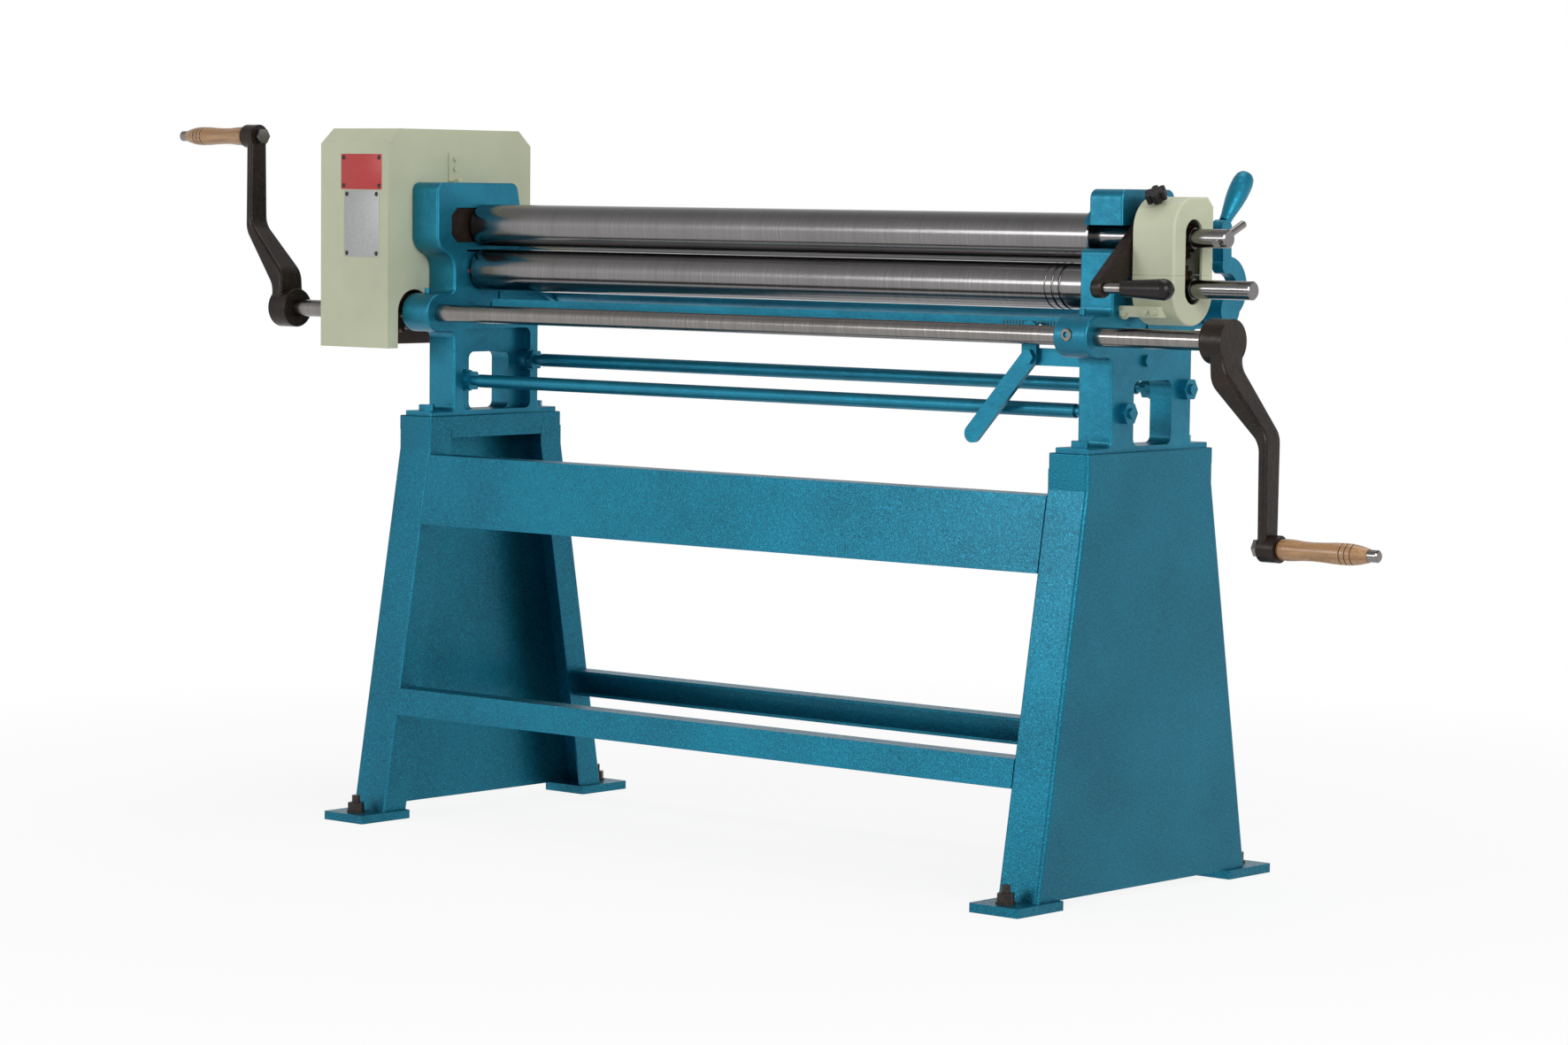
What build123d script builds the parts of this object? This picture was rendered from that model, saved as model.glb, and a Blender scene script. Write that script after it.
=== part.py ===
from build123d import *
import math
import os

# Hand-cranked plate rolling machine: three rolls between two cast housings on sheet-steel stands.
# Millimetres. X runs along the rolls, Y to the back, Z up. The origin lies on the floor, in the
# middle of the four holes in the foot plates.

os.makedirs("parts", exist_ok=True)

overrun = 5
touch = 1
running_clearance = 0.06
seat_clearance = 0.3

# Rolls
roll_radius = 35
roll_length = 1300
roll_side_gap = 1.5
roll_y = -27
top_roll_z = 989
roll_gap = 5
journal_radius = 17.5
gear_seat_radius = 15
shaft_end_radius = 14
end_chamfer = 2
lower_roll_z = top_roll_z - roll_gap - 2 * roll_radius

# Housings
housing_thickness = 62
web_thickness = 40
base_plate = 8
column_front_y = -95
column_rear_y = 107
window_front_y = -39
window_rear_y = 56
window_top_z = 775
window_corner = 12
recess_top_z = 815
flange_width = 20
housing_edge = 4
roll_pad_radius = 48
roll_pad_thickness = 12
housing_bolt_radius = 8
bolt_stand_off = 22
bolt_front_edge = 21
bolt_rear_edge = 23
housing_bolt_y = column_rear_y + bolt_stand_off
base_front_y = -housing_bolt_y - bolt_front_edge
base_rear_y = housing_bolt_y + bolt_rear_edge
housing_inner_x = (roll_length + 2 * roll_side_gap + roll_pad_thickness) / 2
housing_outer_x = housing_inner_x + housing_thickness
stand_x = (housing_inner_x + housing_outer_x) / 2
roll_left_x = -housing_inner_x + roll_side_gap
roll_right_x = roll_left_x + roll_length

# Stands
stand_width = 75
stand_top_z = 670
sheet = 4
fold_radius = 7
lip_fold_radius = 3
foot_thickness = 14
foot_width = 92
foot_depth = 111
foot_front_y = 320
foot_toe = 58
foot_corner = 3
anchor_hole_radius = 7
anchor_edge = 30
anchor_y = foot_front_y - anchor_edge
cap_edge = 29
cap_depth = 2 * (housing_bolt_y + cap_edge)
cap_height = 24
cap_plate = 10
cap_corner = 6
cap_edge_radius = 2
kink_drop = 31
leg_top_z = stand_top_z - cap_height
leg_kink_z = leg_top_z - kink_drop
leg_top_y = cap_depth / 2
leg_foot_y = foot_front_y - foot_toe
lip_width = 50
return_width = 30
header_height = 13
header_width = 214
stand_inner_x = stand_x - stand_width / 2
stand_outer_x = stand_x + stand_width / 2
leg_slope = (leg_foot_y - leg_top_y) / (leg_kink_z - foot_thickness)

# Beam and rails between the stands
beam_drop = 9
beam_height = 115
beam_top_z = leg_kink_z - beam_drop
beam_bottom_z = beam_top_z - beam_height
rail_top_z = 219
rail_bottom_z = 175
bar_wall = 5
bar_flange = 40

# Crank shaft and its gears: a small pinion drives the large gear on the top roll
crank_y = -128
crank_shaft_radius = 14.5
crank_lug_radius = 32
crank_radius = 294
drive_module = 4
pinion_teeth = 16
drive_teeth = 73
drive_distance = drive_module * (pinion_teeth + drive_teeth) / 2
crank_z = top_roll_z - math.sqrt(drive_distance**2 - (roll_y - crank_y) ** 2)

# Rear roll carriage
swing_y = 145
swing_z = 880
swing_shaft_radius = 15
swing_ear_radius = 30
rear_roll_y = 54
rear_roll_z = 922


def leg_y(z):
    """Distance of the front or rear fold line from the middle plane at height z."""
    return leg_top_y + max(leg_kink_z - z, 0) * leg_slope


def add_block(x0, x1, y0, y1, z0, z1, mode=Mode.ADD):
    """Adds a box between two corners to the part that is being built."""
    with Locations(((x0 + x1) / 2, (y0 + y1) / 2, (z0 + z1) / 2)):
        Box(x1 - x0, y1 - y0, z1 - z0, mode=mode)


def add_rod(x0, x1, y, z, radius, mode=Mode.ADD):
    """Adds a cylinder along X to the part that is being built."""
    with Locations(((x0 + x1) / 2, y, z)):
        Cylinder(radius, x1 - x0, rotation=(0, 90, 0), mode=mode)


def save(part, name):
    """Names a finished piece and writes it."""
    part.label = name
    export_step(part, f"parts/{name}.step")


# Foot plates: one under each leg, each with one floor bolt hole
foot_middle_y = foot_front_y - foot_depth / 2
with BuildPart() as foot_plates:
    with Locations((0, 0, foot_thickness / 2)):
        with GridLocations(2 * stand_x, 2 * foot_middle_y, 2, 2):
            Box(foot_width, foot_depth, foot_thickness)
    fillet(foot_plates.edges().filter_by(Axis.Z), foot_corner)
    with Locations((0, 0, foot_thickness)):
        with GridLocations(2 * stand_x, 2 * anchor_y, 2, 2):
            Hole(anchor_hole_radius)
save(foot_plates.part, "foot_plates")


# Legs: folded channels with a lip on the inner side and a short return on the outer side
def leg_band(width):
    """Outline, in Y and Z, of a strip of the given width behind the front fold line."""
    return (
        (-leg_top_y, leg_top_z),
        (-leg_top_y, leg_kink_z),
        (-leg_foot_y, foot_thickness),
        (-leg_foot_y + width, foot_thickness),
        (-leg_top_y + width, leg_kink_z),
        (-leg_top_y + width, leg_top_z),
    )


with BuildPart() as right_front_leg:
    with BuildSketch(Plane.YZ.offset(stand_inner_x)):
        with BuildLine():
            Polyline(*leg_band(lip_width), close=True)
        make_face()
    extrude(amount=sheet)
    with BuildSketch(Plane.YZ.offset(stand_inner_x)):
        with BuildLine():
            Polyline(*leg_band(sheet), close=True)
        make_face()
    extrude(amount=stand_width)
    with BuildSketch(Plane.YZ.offset(stand_outer_x - sheet)):
        with BuildLine():
            Polyline(*leg_band(return_width), close=True)
        make_face()
    extrude(amount=sheet)
    folds = [
        edge
        for edge in right_front_leg.edges()
        if edge.length > kink_drop - touch
        and abs(edge.center().Y + leg_y(edge.center().Z)) < touch
        and edge.bounding_box().size.X < touch
    ]
    fillet([fold for fold in folds if fold.center().X > stand_x], fold_radius)
    fillet([fold for fold in folds if fold.center().X < stand_x], lip_fold_radius)

right_rear_leg = mirror(right_front_leg.part, about=Plane.XZ)
save(right_front_leg.part, "right_front_leg")
save(right_rear_leg, "right_rear_leg")
save(mirror(right_front_leg.part, about=Plane.YZ), "left_front_leg")
save(mirror(right_rear_leg, about=Plane.YZ), "left_rear_leg")

# Side panels: flat sheets that close the outer sides between the legs' returns
with BuildPart() as right_side_panel:
    with BuildSketch(Plane.YZ.offset(stand_outer_x - sheet)):
        with BuildLine():
            Polyline(
                (-leg_top_y + return_width, leg_top_z),
                (-leg_top_y + return_width, leg_kink_z),
                (-leg_foot_y + return_width, foot_thickness),
                (leg_foot_y - return_width, foot_thickness),
                (leg_top_y - return_width, leg_kink_z),
                (leg_top_y - return_width, leg_top_z),
                close=True,
            )
        make_face()
    extrude(amount=sheet)
save(right_side_panel.part, "right_side_panel")
save(mirror(right_side_panel.part, about=Plane.YZ), "left_side_panel")

# Stand caps: folded top plates that carry the housings, with a header over the open inner side
with BuildPart() as right_stand_cap:
    add_block(stand_inner_x, stand_outer_x, -cap_depth / 2, cap_depth / 2, leg_top_z, stand_top_z)
    fillet(right_stand_cap.edges().filter_by(Axis.Z), cap_corner)
    fillet(right_stand_cap.faces().sort_by(Axis.Z)[-1].edges(), cap_edge_radius)
    add_block(
        stand_inner_x + sheet,
        stand_outer_x - sheet,
        -cap_depth / 2 + sheet,
        cap_depth / 2 - sheet,
        leg_top_z,
        stand_top_z - cap_plate,
        Mode.SUBTRACT,
    )
    add_block(
        stand_inner_x,
        stand_inner_x + sheet,
        -header_width / 2,
        header_width / 2,
        leg_top_z - header_height,
        leg_top_z,
    )
    with Locations(Plane.XY.offset(stand_top_z)):
        with Locations((stand_x, -housing_bolt_y), (stand_x, housing_bolt_y)):
            Hole(housing_bolt_radius + seat_clearance)
save(right_stand_cap.part, "right_stand_cap")
save(mirror(right_stand_cap.part, about=Plane.YZ), "left_stand_cap")


# Beam and rails: channels that lie flush with the leg fronts or backs
def channel(top_z, bottom_z):
    """Channel along X behind the front fold line, open to the back."""
    slope_along = math.hypot(1, leg_slope)
    with BuildPart() as bar:
        with BuildSketch(Plane.YZ.offset(-stand_inner_x)):
            with BuildLine():
                top_y = -leg_y(top_z)
                bottom_y = -leg_y(bottom_z)
                wall_y = bar_wall * slope_along
                Polyline(
                    (top_y, top_z),
                    (bottom_y, bottom_z),
                    (bottom_y + bar_flange, bottom_z),
                    (bottom_y + bar_flange, bottom_z + bar_wall),
                    (bottom_y + wall_y + bar_wall * leg_slope, bottom_z + bar_wall),
                    (top_y + wall_y - bar_wall * leg_slope, top_z - bar_wall),
                    (top_y + bar_flange, top_z - bar_wall),
                    (top_y + bar_flange, top_z),
                    close=True,
                )
            make_face()
        extrude(amount=2 * stand_inner_x)
    return bar.part


save(channel(beam_top_z, beam_bottom_z), "front_beam")
save(channel(rail_top_z, rail_bottom_z), "front_rail")
save(mirror(channel(rail_top_z, rail_bottom_z), about=Plane.XZ), "rear_rail")

# Housings: two castings, alike from the base to the crank lug and different at the head.
# Each outline is drawn in Y and Z for the right side.
lug_overlap = 12
ear_front_z = 950
ear_low_z = 850
ear_low_y = 112
head_top_z = 1060
head_rear_top_y = 54
head_rear_low_y = 67
head_rear_low_z = 1000
right_head_front_y = -75
left_head_front_y = -135
left_head_low_z = 952
left_neck_z = 932
head_corner = 14
neck_corner = 30
back_corner = 60
ear_corner = 24
lug_corner = 10
base_corner = 8
top_slot_radius = journal_radius + running_clearance
lower_block_width = 78
lower_block_bottom_z = 858
lower_block_top_z = 944
lower_slot_top_z = 948
tongue_width = 40
tongue_thickness = 28
tongue_slot_bottom_z = 832
window_front = -103
window_rear = 28
window_height = 58
window_chamfer = 13
front_rod_y = -61
front_rod_z = 728
rear_rod_y = 90
rear_rod_z = 760
rod_boss_radius = 18
rod_thread_radius = 8
stop_bolt_radius = 5
stop_bolt_y = -10
stop_bolt_z = 805
stop_bolt_length = 20

rear_outline = (
    (head_rear_top_y, head_top_z),
    (head_rear_low_y, head_rear_low_z),
    (ear_low_y, ear_front_z),
    (ear_low_y, ear_low_z),
    (column_rear_y, recess_top_z),
    (column_rear_y, stand_top_z),
)
right_front_outline = (
    (column_front_y, stand_top_z),
    (column_front_y, top_roll_z - top_slot_radius),
    (right_head_front_y, top_roll_z - top_slot_radius),
    (right_head_front_y, head_top_z),
)
left_front_outline = (
    (column_front_y, stand_top_z),
    (column_front_y, left_neck_z),
    (left_head_front_y, left_head_low_z),
    (left_head_front_y, head_top_z),
)
base_top_z = stand_top_z + base_plate
shared_roundings = (
    (head_corner, (head_rear_top_y, head_top_z)),
    (back_corner, (head_rear_low_y, head_rear_low_z)),
    (ear_corner, (ear_low_y, ear_front_z)),
    (lug_corner, (ear_low_y, swing_z + swing_ear_radius)),
    (lug_corner, (ear_low_y, swing_z - swing_ear_radius)),
    (lug_corner, (column_front_y, crank_z + crank_lug_radius)),
    (lug_corner, (column_front_y, crank_z - crank_lug_radius)),
    (base_corner, (column_front_y, base_top_z)),
    (base_corner, (column_rear_y, base_top_z)),
)
right_roundings = (
    (base_corner, (column_front_y, top_roll_z - top_slot_radius)),
    (head_corner, (right_head_front_y, head_top_z)),
)
left_roundings = (
    (neck_corner, (column_front_y, left_neck_z)),
    (neck_corner, (left_head_front_y, left_head_low_z)),
    (head_corner, (left_head_front_y, head_top_z)),
)


def housing(front_outline, roundings, open_slot):
    """One casting on the right side, with its outer face flush and its inner side recessed."""
    with BuildPart() as casting:
        with BuildSketch(Plane.YZ.offset(housing_inner_x)):
            with BuildLine():
                Polyline(*front_outline, *rear_outline, close=True)
            make_face()
            with Locations((crank_y, crank_z)):
                Circle(crank_lug_radius)
            with Locations(((crank_y + column_front_y + lug_overlap) / 2, crank_z)):
                Rectangle(column_front_y + lug_overlap - crank_y, 2 * crank_lug_radius)
            with Locations((swing_y, swing_z)):
                Circle(swing_ear_radius)
            with Locations(((swing_y + ear_low_y - lug_overlap) / 2, swing_z)):
                Rectangle(swing_y - ear_low_y + lug_overlap, 2 * swing_ear_radius)
            with Locations(((base_front_y + base_rear_y) / 2, stand_top_z + base_plate / 2)):
                Rectangle(base_rear_y - base_front_y, base_plate)
        extrude(amount=housing_thickness)
        for radius, (y, z) in (*shared_roundings, *roundings):
            corner = [
                edge
                for edge in casting.edges().filter_by(Axis.X)
                if math.hypot(edge.center().Y - y, edge.center().Z - z) < touch
            ]
            fillet(corner, radius)
        for face in (casting.faces().sort_by(Axis.X)[0], casting.faces().sort_by(Axis.X)[-1]):
            rim = [e for e in face.outer_wire().edges() if e.center().Z > stand_top_z + touch]
            fillet(rim, housing_edge)
        # window between the columns
        with BuildSketch(Plane.YZ.offset(housing_inner_x)) as window:
            with Locations(
                ((window_front_y + window_rear_y) / 2, (base_top_z + window_top_z) / 2)
            ):
                Rectangle(window_rear_y - window_front_y, window_top_z - base_top_z)
            fillet(window.vertices(), window_corner)
        extrude(amount=housing_thickness, mode=Mode.SUBTRACT)
        # recess on the inner side, with round bosses left for the tie rods
        with BuildSketch(Plane.YZ.offset(housing_inner_x)) as recess:
            with Locations(
                ((column_front_y + column_rear_y) / 2, (base_top_z + recess_top_z) / 2)
            ):
                Rectangle(
                    column_rear_y - column_front_y - 2 * flange_width, recess_top_z - base_top_z
                )
            fillet(recess.vertices(), window_corner)
            with Locations((front_rod_y, front_rod_z), (rear_rod_y, rear_rod_z)):
                Circle(rod_boss_radius, mode=Mode.SUBTRACT)
        extrude(amount=housing_thickness - web_thickness, mode=Mode.SUBTRACT)
        # round pad at the end of the top roll on the right-hand casting
        if open_slot:
            add_rod(
                housing_inner_x - roll_pad_thickness,
                housing_inner_x,
                roll_y,
                top_roll_z,
                roll_pad_radius,
            )
        inner = housing_inner_x - roll_pad_thickness - overrun
        deep = housing_thickness + roll_pad_thickness + 2 * overrun
        # slot of the lower bearing block, and the narrower slot of the wedge below it
        add_block(
            inner,
            inner + deep,
            roll_y - lower_block_width / 2,
            roll_y + lower_block_width / 2,
            lower_block_bottom_z,
            lower_slot_top_z,
            Mode.SUBTRACT,
        )
        add_block(
            inner,
            inner + deep,
            roll_y - tongue_width / 2 - seat_clearance,
            roll_y + tongue_width / 2 + seat_clearance,
            tongue_slot_bottom_z,
            lower_block_bottom_z,
            Mode.SUBTRACT,
        )
        # slot that opens to the front, or the window of the swivel block
        if open_slot:
            add_rod(inner, inner + deep, roll_y, top_roll_z, top_slot_radius, Mode.SUBTRACT)
            add_block(
                inner,
                inner + deep,
                column_front_y - overrun,
                roll_y,
                top_roll_z - top_slot_radius,
                top_roll_z + top_slot_radius,
                Mode.SUBTRACT,
            )
            add_rod(
                housing_outer_x - stop_bolt_length,
                housing_outer_x,
                stop_bolt_y,
                stop_bolt_z,
                stop_bolt_radius,
                Mode.SUBTRACT,
            )
        else:
            with BuildSketch(Plane.YZ.offset(inner)) as swivel_window:
                with Locations(((window_front + window_rear) / 2, top_roll_z)):
                    Rectangle(window_rear - window_front, window_height)
                chamfer(swivel_window.vertices(), window_chamfer)
            extrude(amount=deep, mode=Mode.SUBTRACT)
        for bore_y, bore_z, radius in (
            (crank_y, crank_z, crank_shaft_radius),
            (swing_y, swing_z, swing_shaft_radius),
            (front_rod_y, front_rod_z, rod_thread_radius),
            (rear_rod_y, rear_rod_z, rod_thread_radius),
        ):
            add_rod(
                inner, inner + deep, bore_y, bore_z, radius + running_clearance, Mode.SUBTRACT
            )
        with Locations(Plane.XY.offset(base_top_z)):
            with Locations((stand_x, -housing_bolt_y), (stand_x, housing_bolt_y)):
                Hole(housing_bolt_radius + seat_clearance, depth=base_plate)
    return casting.part


save(housing(right_front_outline, right_roundings, True), "right_housing")
save(mirror(housing(left_front_outline, left_roundings, False), about=Plane.YZ), "left_housing")

# Hexagon bolts and nuts
bolt_across = 24
bolt_head = 10
nut_height = 13
washer_radius = 15
washer_height = 3
stud_length = 42
housing_bolt_length = 40
stop_bolt_across = 17
stop_bolt_head = 7
bolt_places = [(i * stand_x, j * housing_bolt_y) for i in (-1, 1) for j in (-1, 1)]
anchor_places = [(i * stand_x, j * anchor_y) for i in (-1, 1) for j in (-1, 1)]

with BuildPart() as housing_bolts:
    for x, y in bolt_places:
        with BuildSketch(Plane.XY.offset(base_top_z)):
            with Locations((x, y)):
                RegularPolygon(bolt_across / 2, 6, major_radius=False)
        extrude(amount=bolt_head)
        with Locations((x, y, base_top_z - housing_bolt_length / 2)):
            Cylinder(housing_bolt_radius, housing_bolt_length)
save(housing_bolts.part, "housing_bolts")

with BuildPart() as stop_bolt:
    with BuildSketch(Plane.YZ.offset(housing_outer_x)):
        with Locations((stop_bolt_y, stop_bolt_z)):
            RegularPolygon(stop_bolt_across / 2, 6, major_radius=False)
    extrude(amount=stop_bolt_head)
    add_rod(
        housing_outer_x - stop_bolt_length,
        housing_outer_x,
        stop_bolt_y,
        stop_bolt_z,
        stop_bolt_radius,
    )
save(stop_bolt.part, "stop_bolt")

with BuildPart() as housing_nuts:
    for x, y in bolt_places:
        with BuildSketch(Plane.XY.offset(stand_top_z - cap_plate - nut_height)):
            with Locations((x, y)):
                RegularPolygon(bolt_across / 2, 6, major_radius=False)
                Circle(housing_bolt_radius, mode=Mode.SUBTRACT)
        extrude(amount=nut_height)
save(housing_nuts.part, "housing_nuts")

with BuildPart() as anchor_studs:
    with Locations((0, 0, stud_length / 2)):
        with GridLocations(2 * stand_x, 2 * anchor_y, 2, 2):
            Cylinder(anchor_hole_radius - seat_clearance, stud_length)
save(anchor_studs.part, "anchor_studs")

anchor_bore = anchor_hole_radius - seat_clearance
with BuildPart() as anchor_washers:
    for x, y in anchor_places:
        with BuildSketch(Plane.XY.offset(foot_thickness)):
            with Locations((x, y)):
                Circle(washer_radius)
                Circle(anchor_bore, mode=Mode.SUBTRACT)
        extrude(amount=washer_height)
save(anchor_washers.part, "anchor_washers")

with BuildPart() as anchor_nuts:
    for x, y in anchor_places:
        with BuildSketch(Plane.XY.offset(foot_thickness + washer_height)):
            with Locations((x, y)):
                RegularPolygon(bolt_across / 2, 6, major_radius=False)
                Circle(anchor_bore, mode=Mode.SUBTRACT)
        extrude(amount=nut_height)
save(anchor_nuts.part, "anchor_nuts")

# Tie rods: thick between the housings, stepped down through them, held by a nut on each side
tie_radius = 11
tie_shoulder = 26
tie_end = 17
tie_nut_across = 30
tie_nut_height = 12
for label, rod_y, rod_z in (
    ("front_tie_rod", front_rod_y, front_rod_z),
    ("rear_tie_rod", rear_rod_y, rear_rod_z),
):
    with BuildPart() as tie_rod:
        add_rod(
            -housing_inner_x + tie_shoulder, housing_inner_x - tie_shoulder, rod_y, rod_z, tie_radius
        )
        chamfer(tie_rod.edges().filter_by(GeomType.CIRCLE), end_chamfer)
        add_rod(-housing_outer_x - tie_end, housing_outer_x + tie_end, rod_y, rod_z, rod_thread_radius)
    save(tie_rod.part, label)

with BuildPart() as tie_rod_nuts:
    for rod_y, rod_z in ((front_rod_y, front_rod_z), (rear_rod_y, rear_rod_z)):
        for side in (-1, 1):
            for face in (
                side * housing_outer_x + min(side, 0) * tie_nut_height,
                side * housing_inner_x - max(side, 0) * tie_nut_height,
            ):
                with BuildSketch(Plane.YZ.offset(face)):
                    with Locations((rod_y, rod_z)):
                        RegularPolygon(tie_nut_across / 2, 6, major_radius=False)
                        Circle(rod_thread_radius, mode=Mode.SUBTRACT)
                extrude(amount=tie_nut_height)
save(tie_rod_nuts.part, "tie_rod_nuts")


# Gears with involute flanks: each tooth is drawn through four points on either side
pressure_angle = 20
addendum_share = 0.95
dedendum_share = 1.25
backlash_share = 0.07


def gear(teeth, module, start_x, width, y, z, bore, first_tooth):
    """Spur gear along X with its first tooth at the given angle, in degrees, in the YZ plane."""
    pitch = module * teeth / 2
    base = pitch * math.cos(math.radians(pressure_angle))
    root = pitch - dedendum_share * module
    tip = pitch + addendum_share * module
    inv_pitch = math.tan(math.radians(pressure_angle)) - math.radians(pressure_angle)
    half_pitch_angle = math.pi / 2 / teeth - backlash_share * module / pitch / 2
    flank = []
    for radius in (root, max(base, root), pitch, (pitch + tip) / 2, tip):
        pressure = math.acos(min(1, base / radius))
        half = half_pitch_angle + inv_pitch - (math.tan(pressure) - pressure)
        if not flank or radius > flank[-1][0]:
            flank.append((radius, half))
    outline = []
    for tooth in range(teeth):
        centre = math.radians(first_tooth) + 2 * math.pi * tooth / teeth
        sides = [(r, centre - half) for r, half in flank]
        sides += [(r, centre + half) for r, half in reversed(flank)]
        outline += [(y + r * math.cos(a), z + r * math.sin(a)) for r, a in sides]
    with BuildPart() as wheel:
        with BuildSketch(Plane.YZ.offset(start_x)):
            with BuildLine():
                Polyline(*outline, close=True)
            make_face()
            with Locations((y, z)):
                Circle(bore, mode=Mode.SUBTRACT)
        extrude(amount=width)
    return wheel.part


# Drive gears on the left, inside the gear cover
drive_gear_width = 30
pinion_width = 36
drive_gear_outset = 36.5
drive_gear_x = -housing_outer_x - drive_gear_outset - drive_gear_width
drive_line = math.degrees(math.atan2(top_roll_z - crank_z, roll_y - crank_y))
save(
    gear(
        drive_teeth,
        drive_module,
        drive_gear_x,
        drive_gear_width,
        roll_y,
        top_roll_z,
        gear_seat_radius,
        drive_line + 180 + 180 / drive_teeth,
    ),
    "drive_gear",
)
save(
    gear(
        pinion_teeth,
        drive_module,
        drive_gear_x + (drive_gear_width - pinion_width) / 2,
        pinion_width,
        crank_y,
        crank_z,
        crank_shaft_radius,
        drive_line,
    ),
    "crank_pinion",
)

# Pair of equal gears on the right, inside the guard, that makes both rolls turn together.
# Their teeth are deep, so they stay in mesh while the pinch lever closes the rolls.
wedge_slope = 0.19
wedge_travel = 20.94
pair_teeth = 18
pair_gear_outset = 38.5
closed_distance = top_roll_z - lower_roll_z - wedge_slope * wedge_travel
pair_module = (closed_distance - running_clearance) / pair_teeth
pair_gear_x = housing_outer_x + pair_gear_outset
pair_gear_width = 34
save(
    gear(
        pair_teeth,
        pair_module,
        pair_gear_x,
        pair_gear_width,
        roll_y,
        top_roll_z,
        gear_seat_radius,
        -90,
    ),
    "top_pair_gear",
)
save(
    gear(
        pair_teeth,
        pair_module,
        pair_gear_x,
        pair_gear_width,
        roll_y,
        lower_roll_z,
        gear_seat_radius,
        90 + 180 / pair_teeth,
    ),
    "lower_pair_gear",
)

# Rolls: journals in the housings, seats for the gears, and free ends with a small shoulder
journal_overhang = 2
seat_overhang = 14
guard_outset = 21.5
guard_depth = 75
shoulder_gap = 2
top_shaft_reach = 62
lower_shaft_reach = 107
journal_end_x = housing_outer_x + journal_overhang
guard_x = housing_outer_x + guard_outset
guard_end_x = guard_x + guard_depth
shoulder_x = guard_end_x + shoulder_gap
top_shaft_right_x = shoulder_x + top_shaft_reach
lower_shaft_right_x = shoulder_x + lower_shaft_reach
top_shaft_left_x = drive_gear_x - seat_overhang
groove_inset = 44
groove_pitch = 12
groove_radii = (2.0, 2.8, 3.6)
groove_sink_share = 1 / 3
pin_radius = 6
pin_length = 74
pin_tilt = 23
pin_inset = 12
pin_gap = 2.5
pin_x = top_shaft_right_x - pin_inset
pin_reach = closed_distance - shaft_end_radius - pin_gap
pin_middle = pin_reach - pin_length / 2

with BuildPart() as top_roll:
    add_rod(roll_left_x, roll_right_x, roll_y, top_roll_z, roll_radius)
    chamfer(top_roll.edges().filter_by(GeomType.CIRCLE), end_chamfer)
    add_rod(-journal_end_x, journal_end_x, roll_y, top_roll_z, journal_radius)
    add_rod(top_shaft_left_x, shoulder_x, roll_y, top_roll_z, gear_seat_radius)
    add_rod(shoulder_x, top_shaft_right_x, roll_y, top_roll_z, shaft_end_radius)
    chamfer(top_roll.faces().sort_by(Axis.X)[-1].edges(), end_chamfer)
    chamfer(top_roll.faces().sort_by(Axis.X)[0].edges(), end_chamfer)
    with Locations((pin_x, roll_y, top_roll_z)):
        Cylinder(pin_radius, 2 * pin_length, rotation=(pin_tilt - 90, 0, 0), mode=Mode.SUBTRACT)
save(top_roll.part, "top_roll")

with BuildPart() as top_shaft_pin:
    with Locations(
        (
            pin_x,
            roll_y + pin_middle * math.cos(math.radians(pin_tilt)),
            top_roll_z + pin_middle * math.sin(math.radians(pin_tilt)),
        )
    ):
        Cylinder(pin_radius, pin_length, rotation=(pin_tilt - 90, 0, 0))
save(top_shaft_pin.part, "top_shaft_pin")

with BuildPart() as lower_roll:
    add_rod(roll_left_x, roll_right_x, roll_y, lower_roll_z, roll_radius)
    chamfer(lower_roll.edges().filter_by(GeomType.CIRCLE), end_chamfer)
    for index, groove in enumerate(groove_radii):
        groove_x = roll_right_x - groove_inset + index * groove_pitch
        with Locations((groove_x, roll_y, lower_roll_z)):
            Torus(
                roll_radius + groove * groove_sink_share,
                groove,
                rotation=(0, 90, 0),
                mode=Mode.SUBTRACT,
            )
    add_rod(-housing_outer_x, journal_end_x, roll_y, lower_roll_z, journal_radius)
    add_rod(journal_end_x, shoulder_x, roll_y, lower_roll_z, gear_seat_radius)
    add_rod(shoulder_x, lower_shaft_right_x, roll_y, lower_roll_z, shaft_end_radius)
    chamfer(lower_roll.faces().sort_by(Axis.X)[-1].edges(), end_chamfer)
save(lower_roll.part, "lower_roll")

# Top bearings: a swivel block in the left window, and collars that keep the gears in place
swivel_thickness = 52
swivel_gap = 1.2
swivel_width = window_rear - window_front - 2 * swivel_gap
with BuildPart() as swivel_block:
    with BuildSketch(Plane.YZ.offset(-stand_x - swivel_thickness / 2)) as face:
        with Locations(((window_front + window_rear) / 2, top_roll_z)):
            Rectangle(swivel_width, window_height - 2 * seat_clearance)
        chamfer(face.vertices(), window_chamfer)
        with Locations((roll_y, top_roll_z)):
            Circle(journal_radius + running_clearance, mode=Mode.SUBTRACT)
    extrude(amount=swivel_thickness)
save(swivel_block.part, "swivel_block")

# Lower bearing blocks ride in the housing slots, each on a sloping wedge tongue
block_thickness = 58
tongue_middle_z = tongue_slot_bottom_z + tongue_thickness / 2


def wedge_z(x, side):
    """Height of the wedge surface at x: a ramp under the block and level on both sides of it."""
    from_middle = x - side * stand_x
    half = block_thickness / 2
    return tongue_middle_z + wedge_slope * max(-half, min(half, from_middle))


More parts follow.
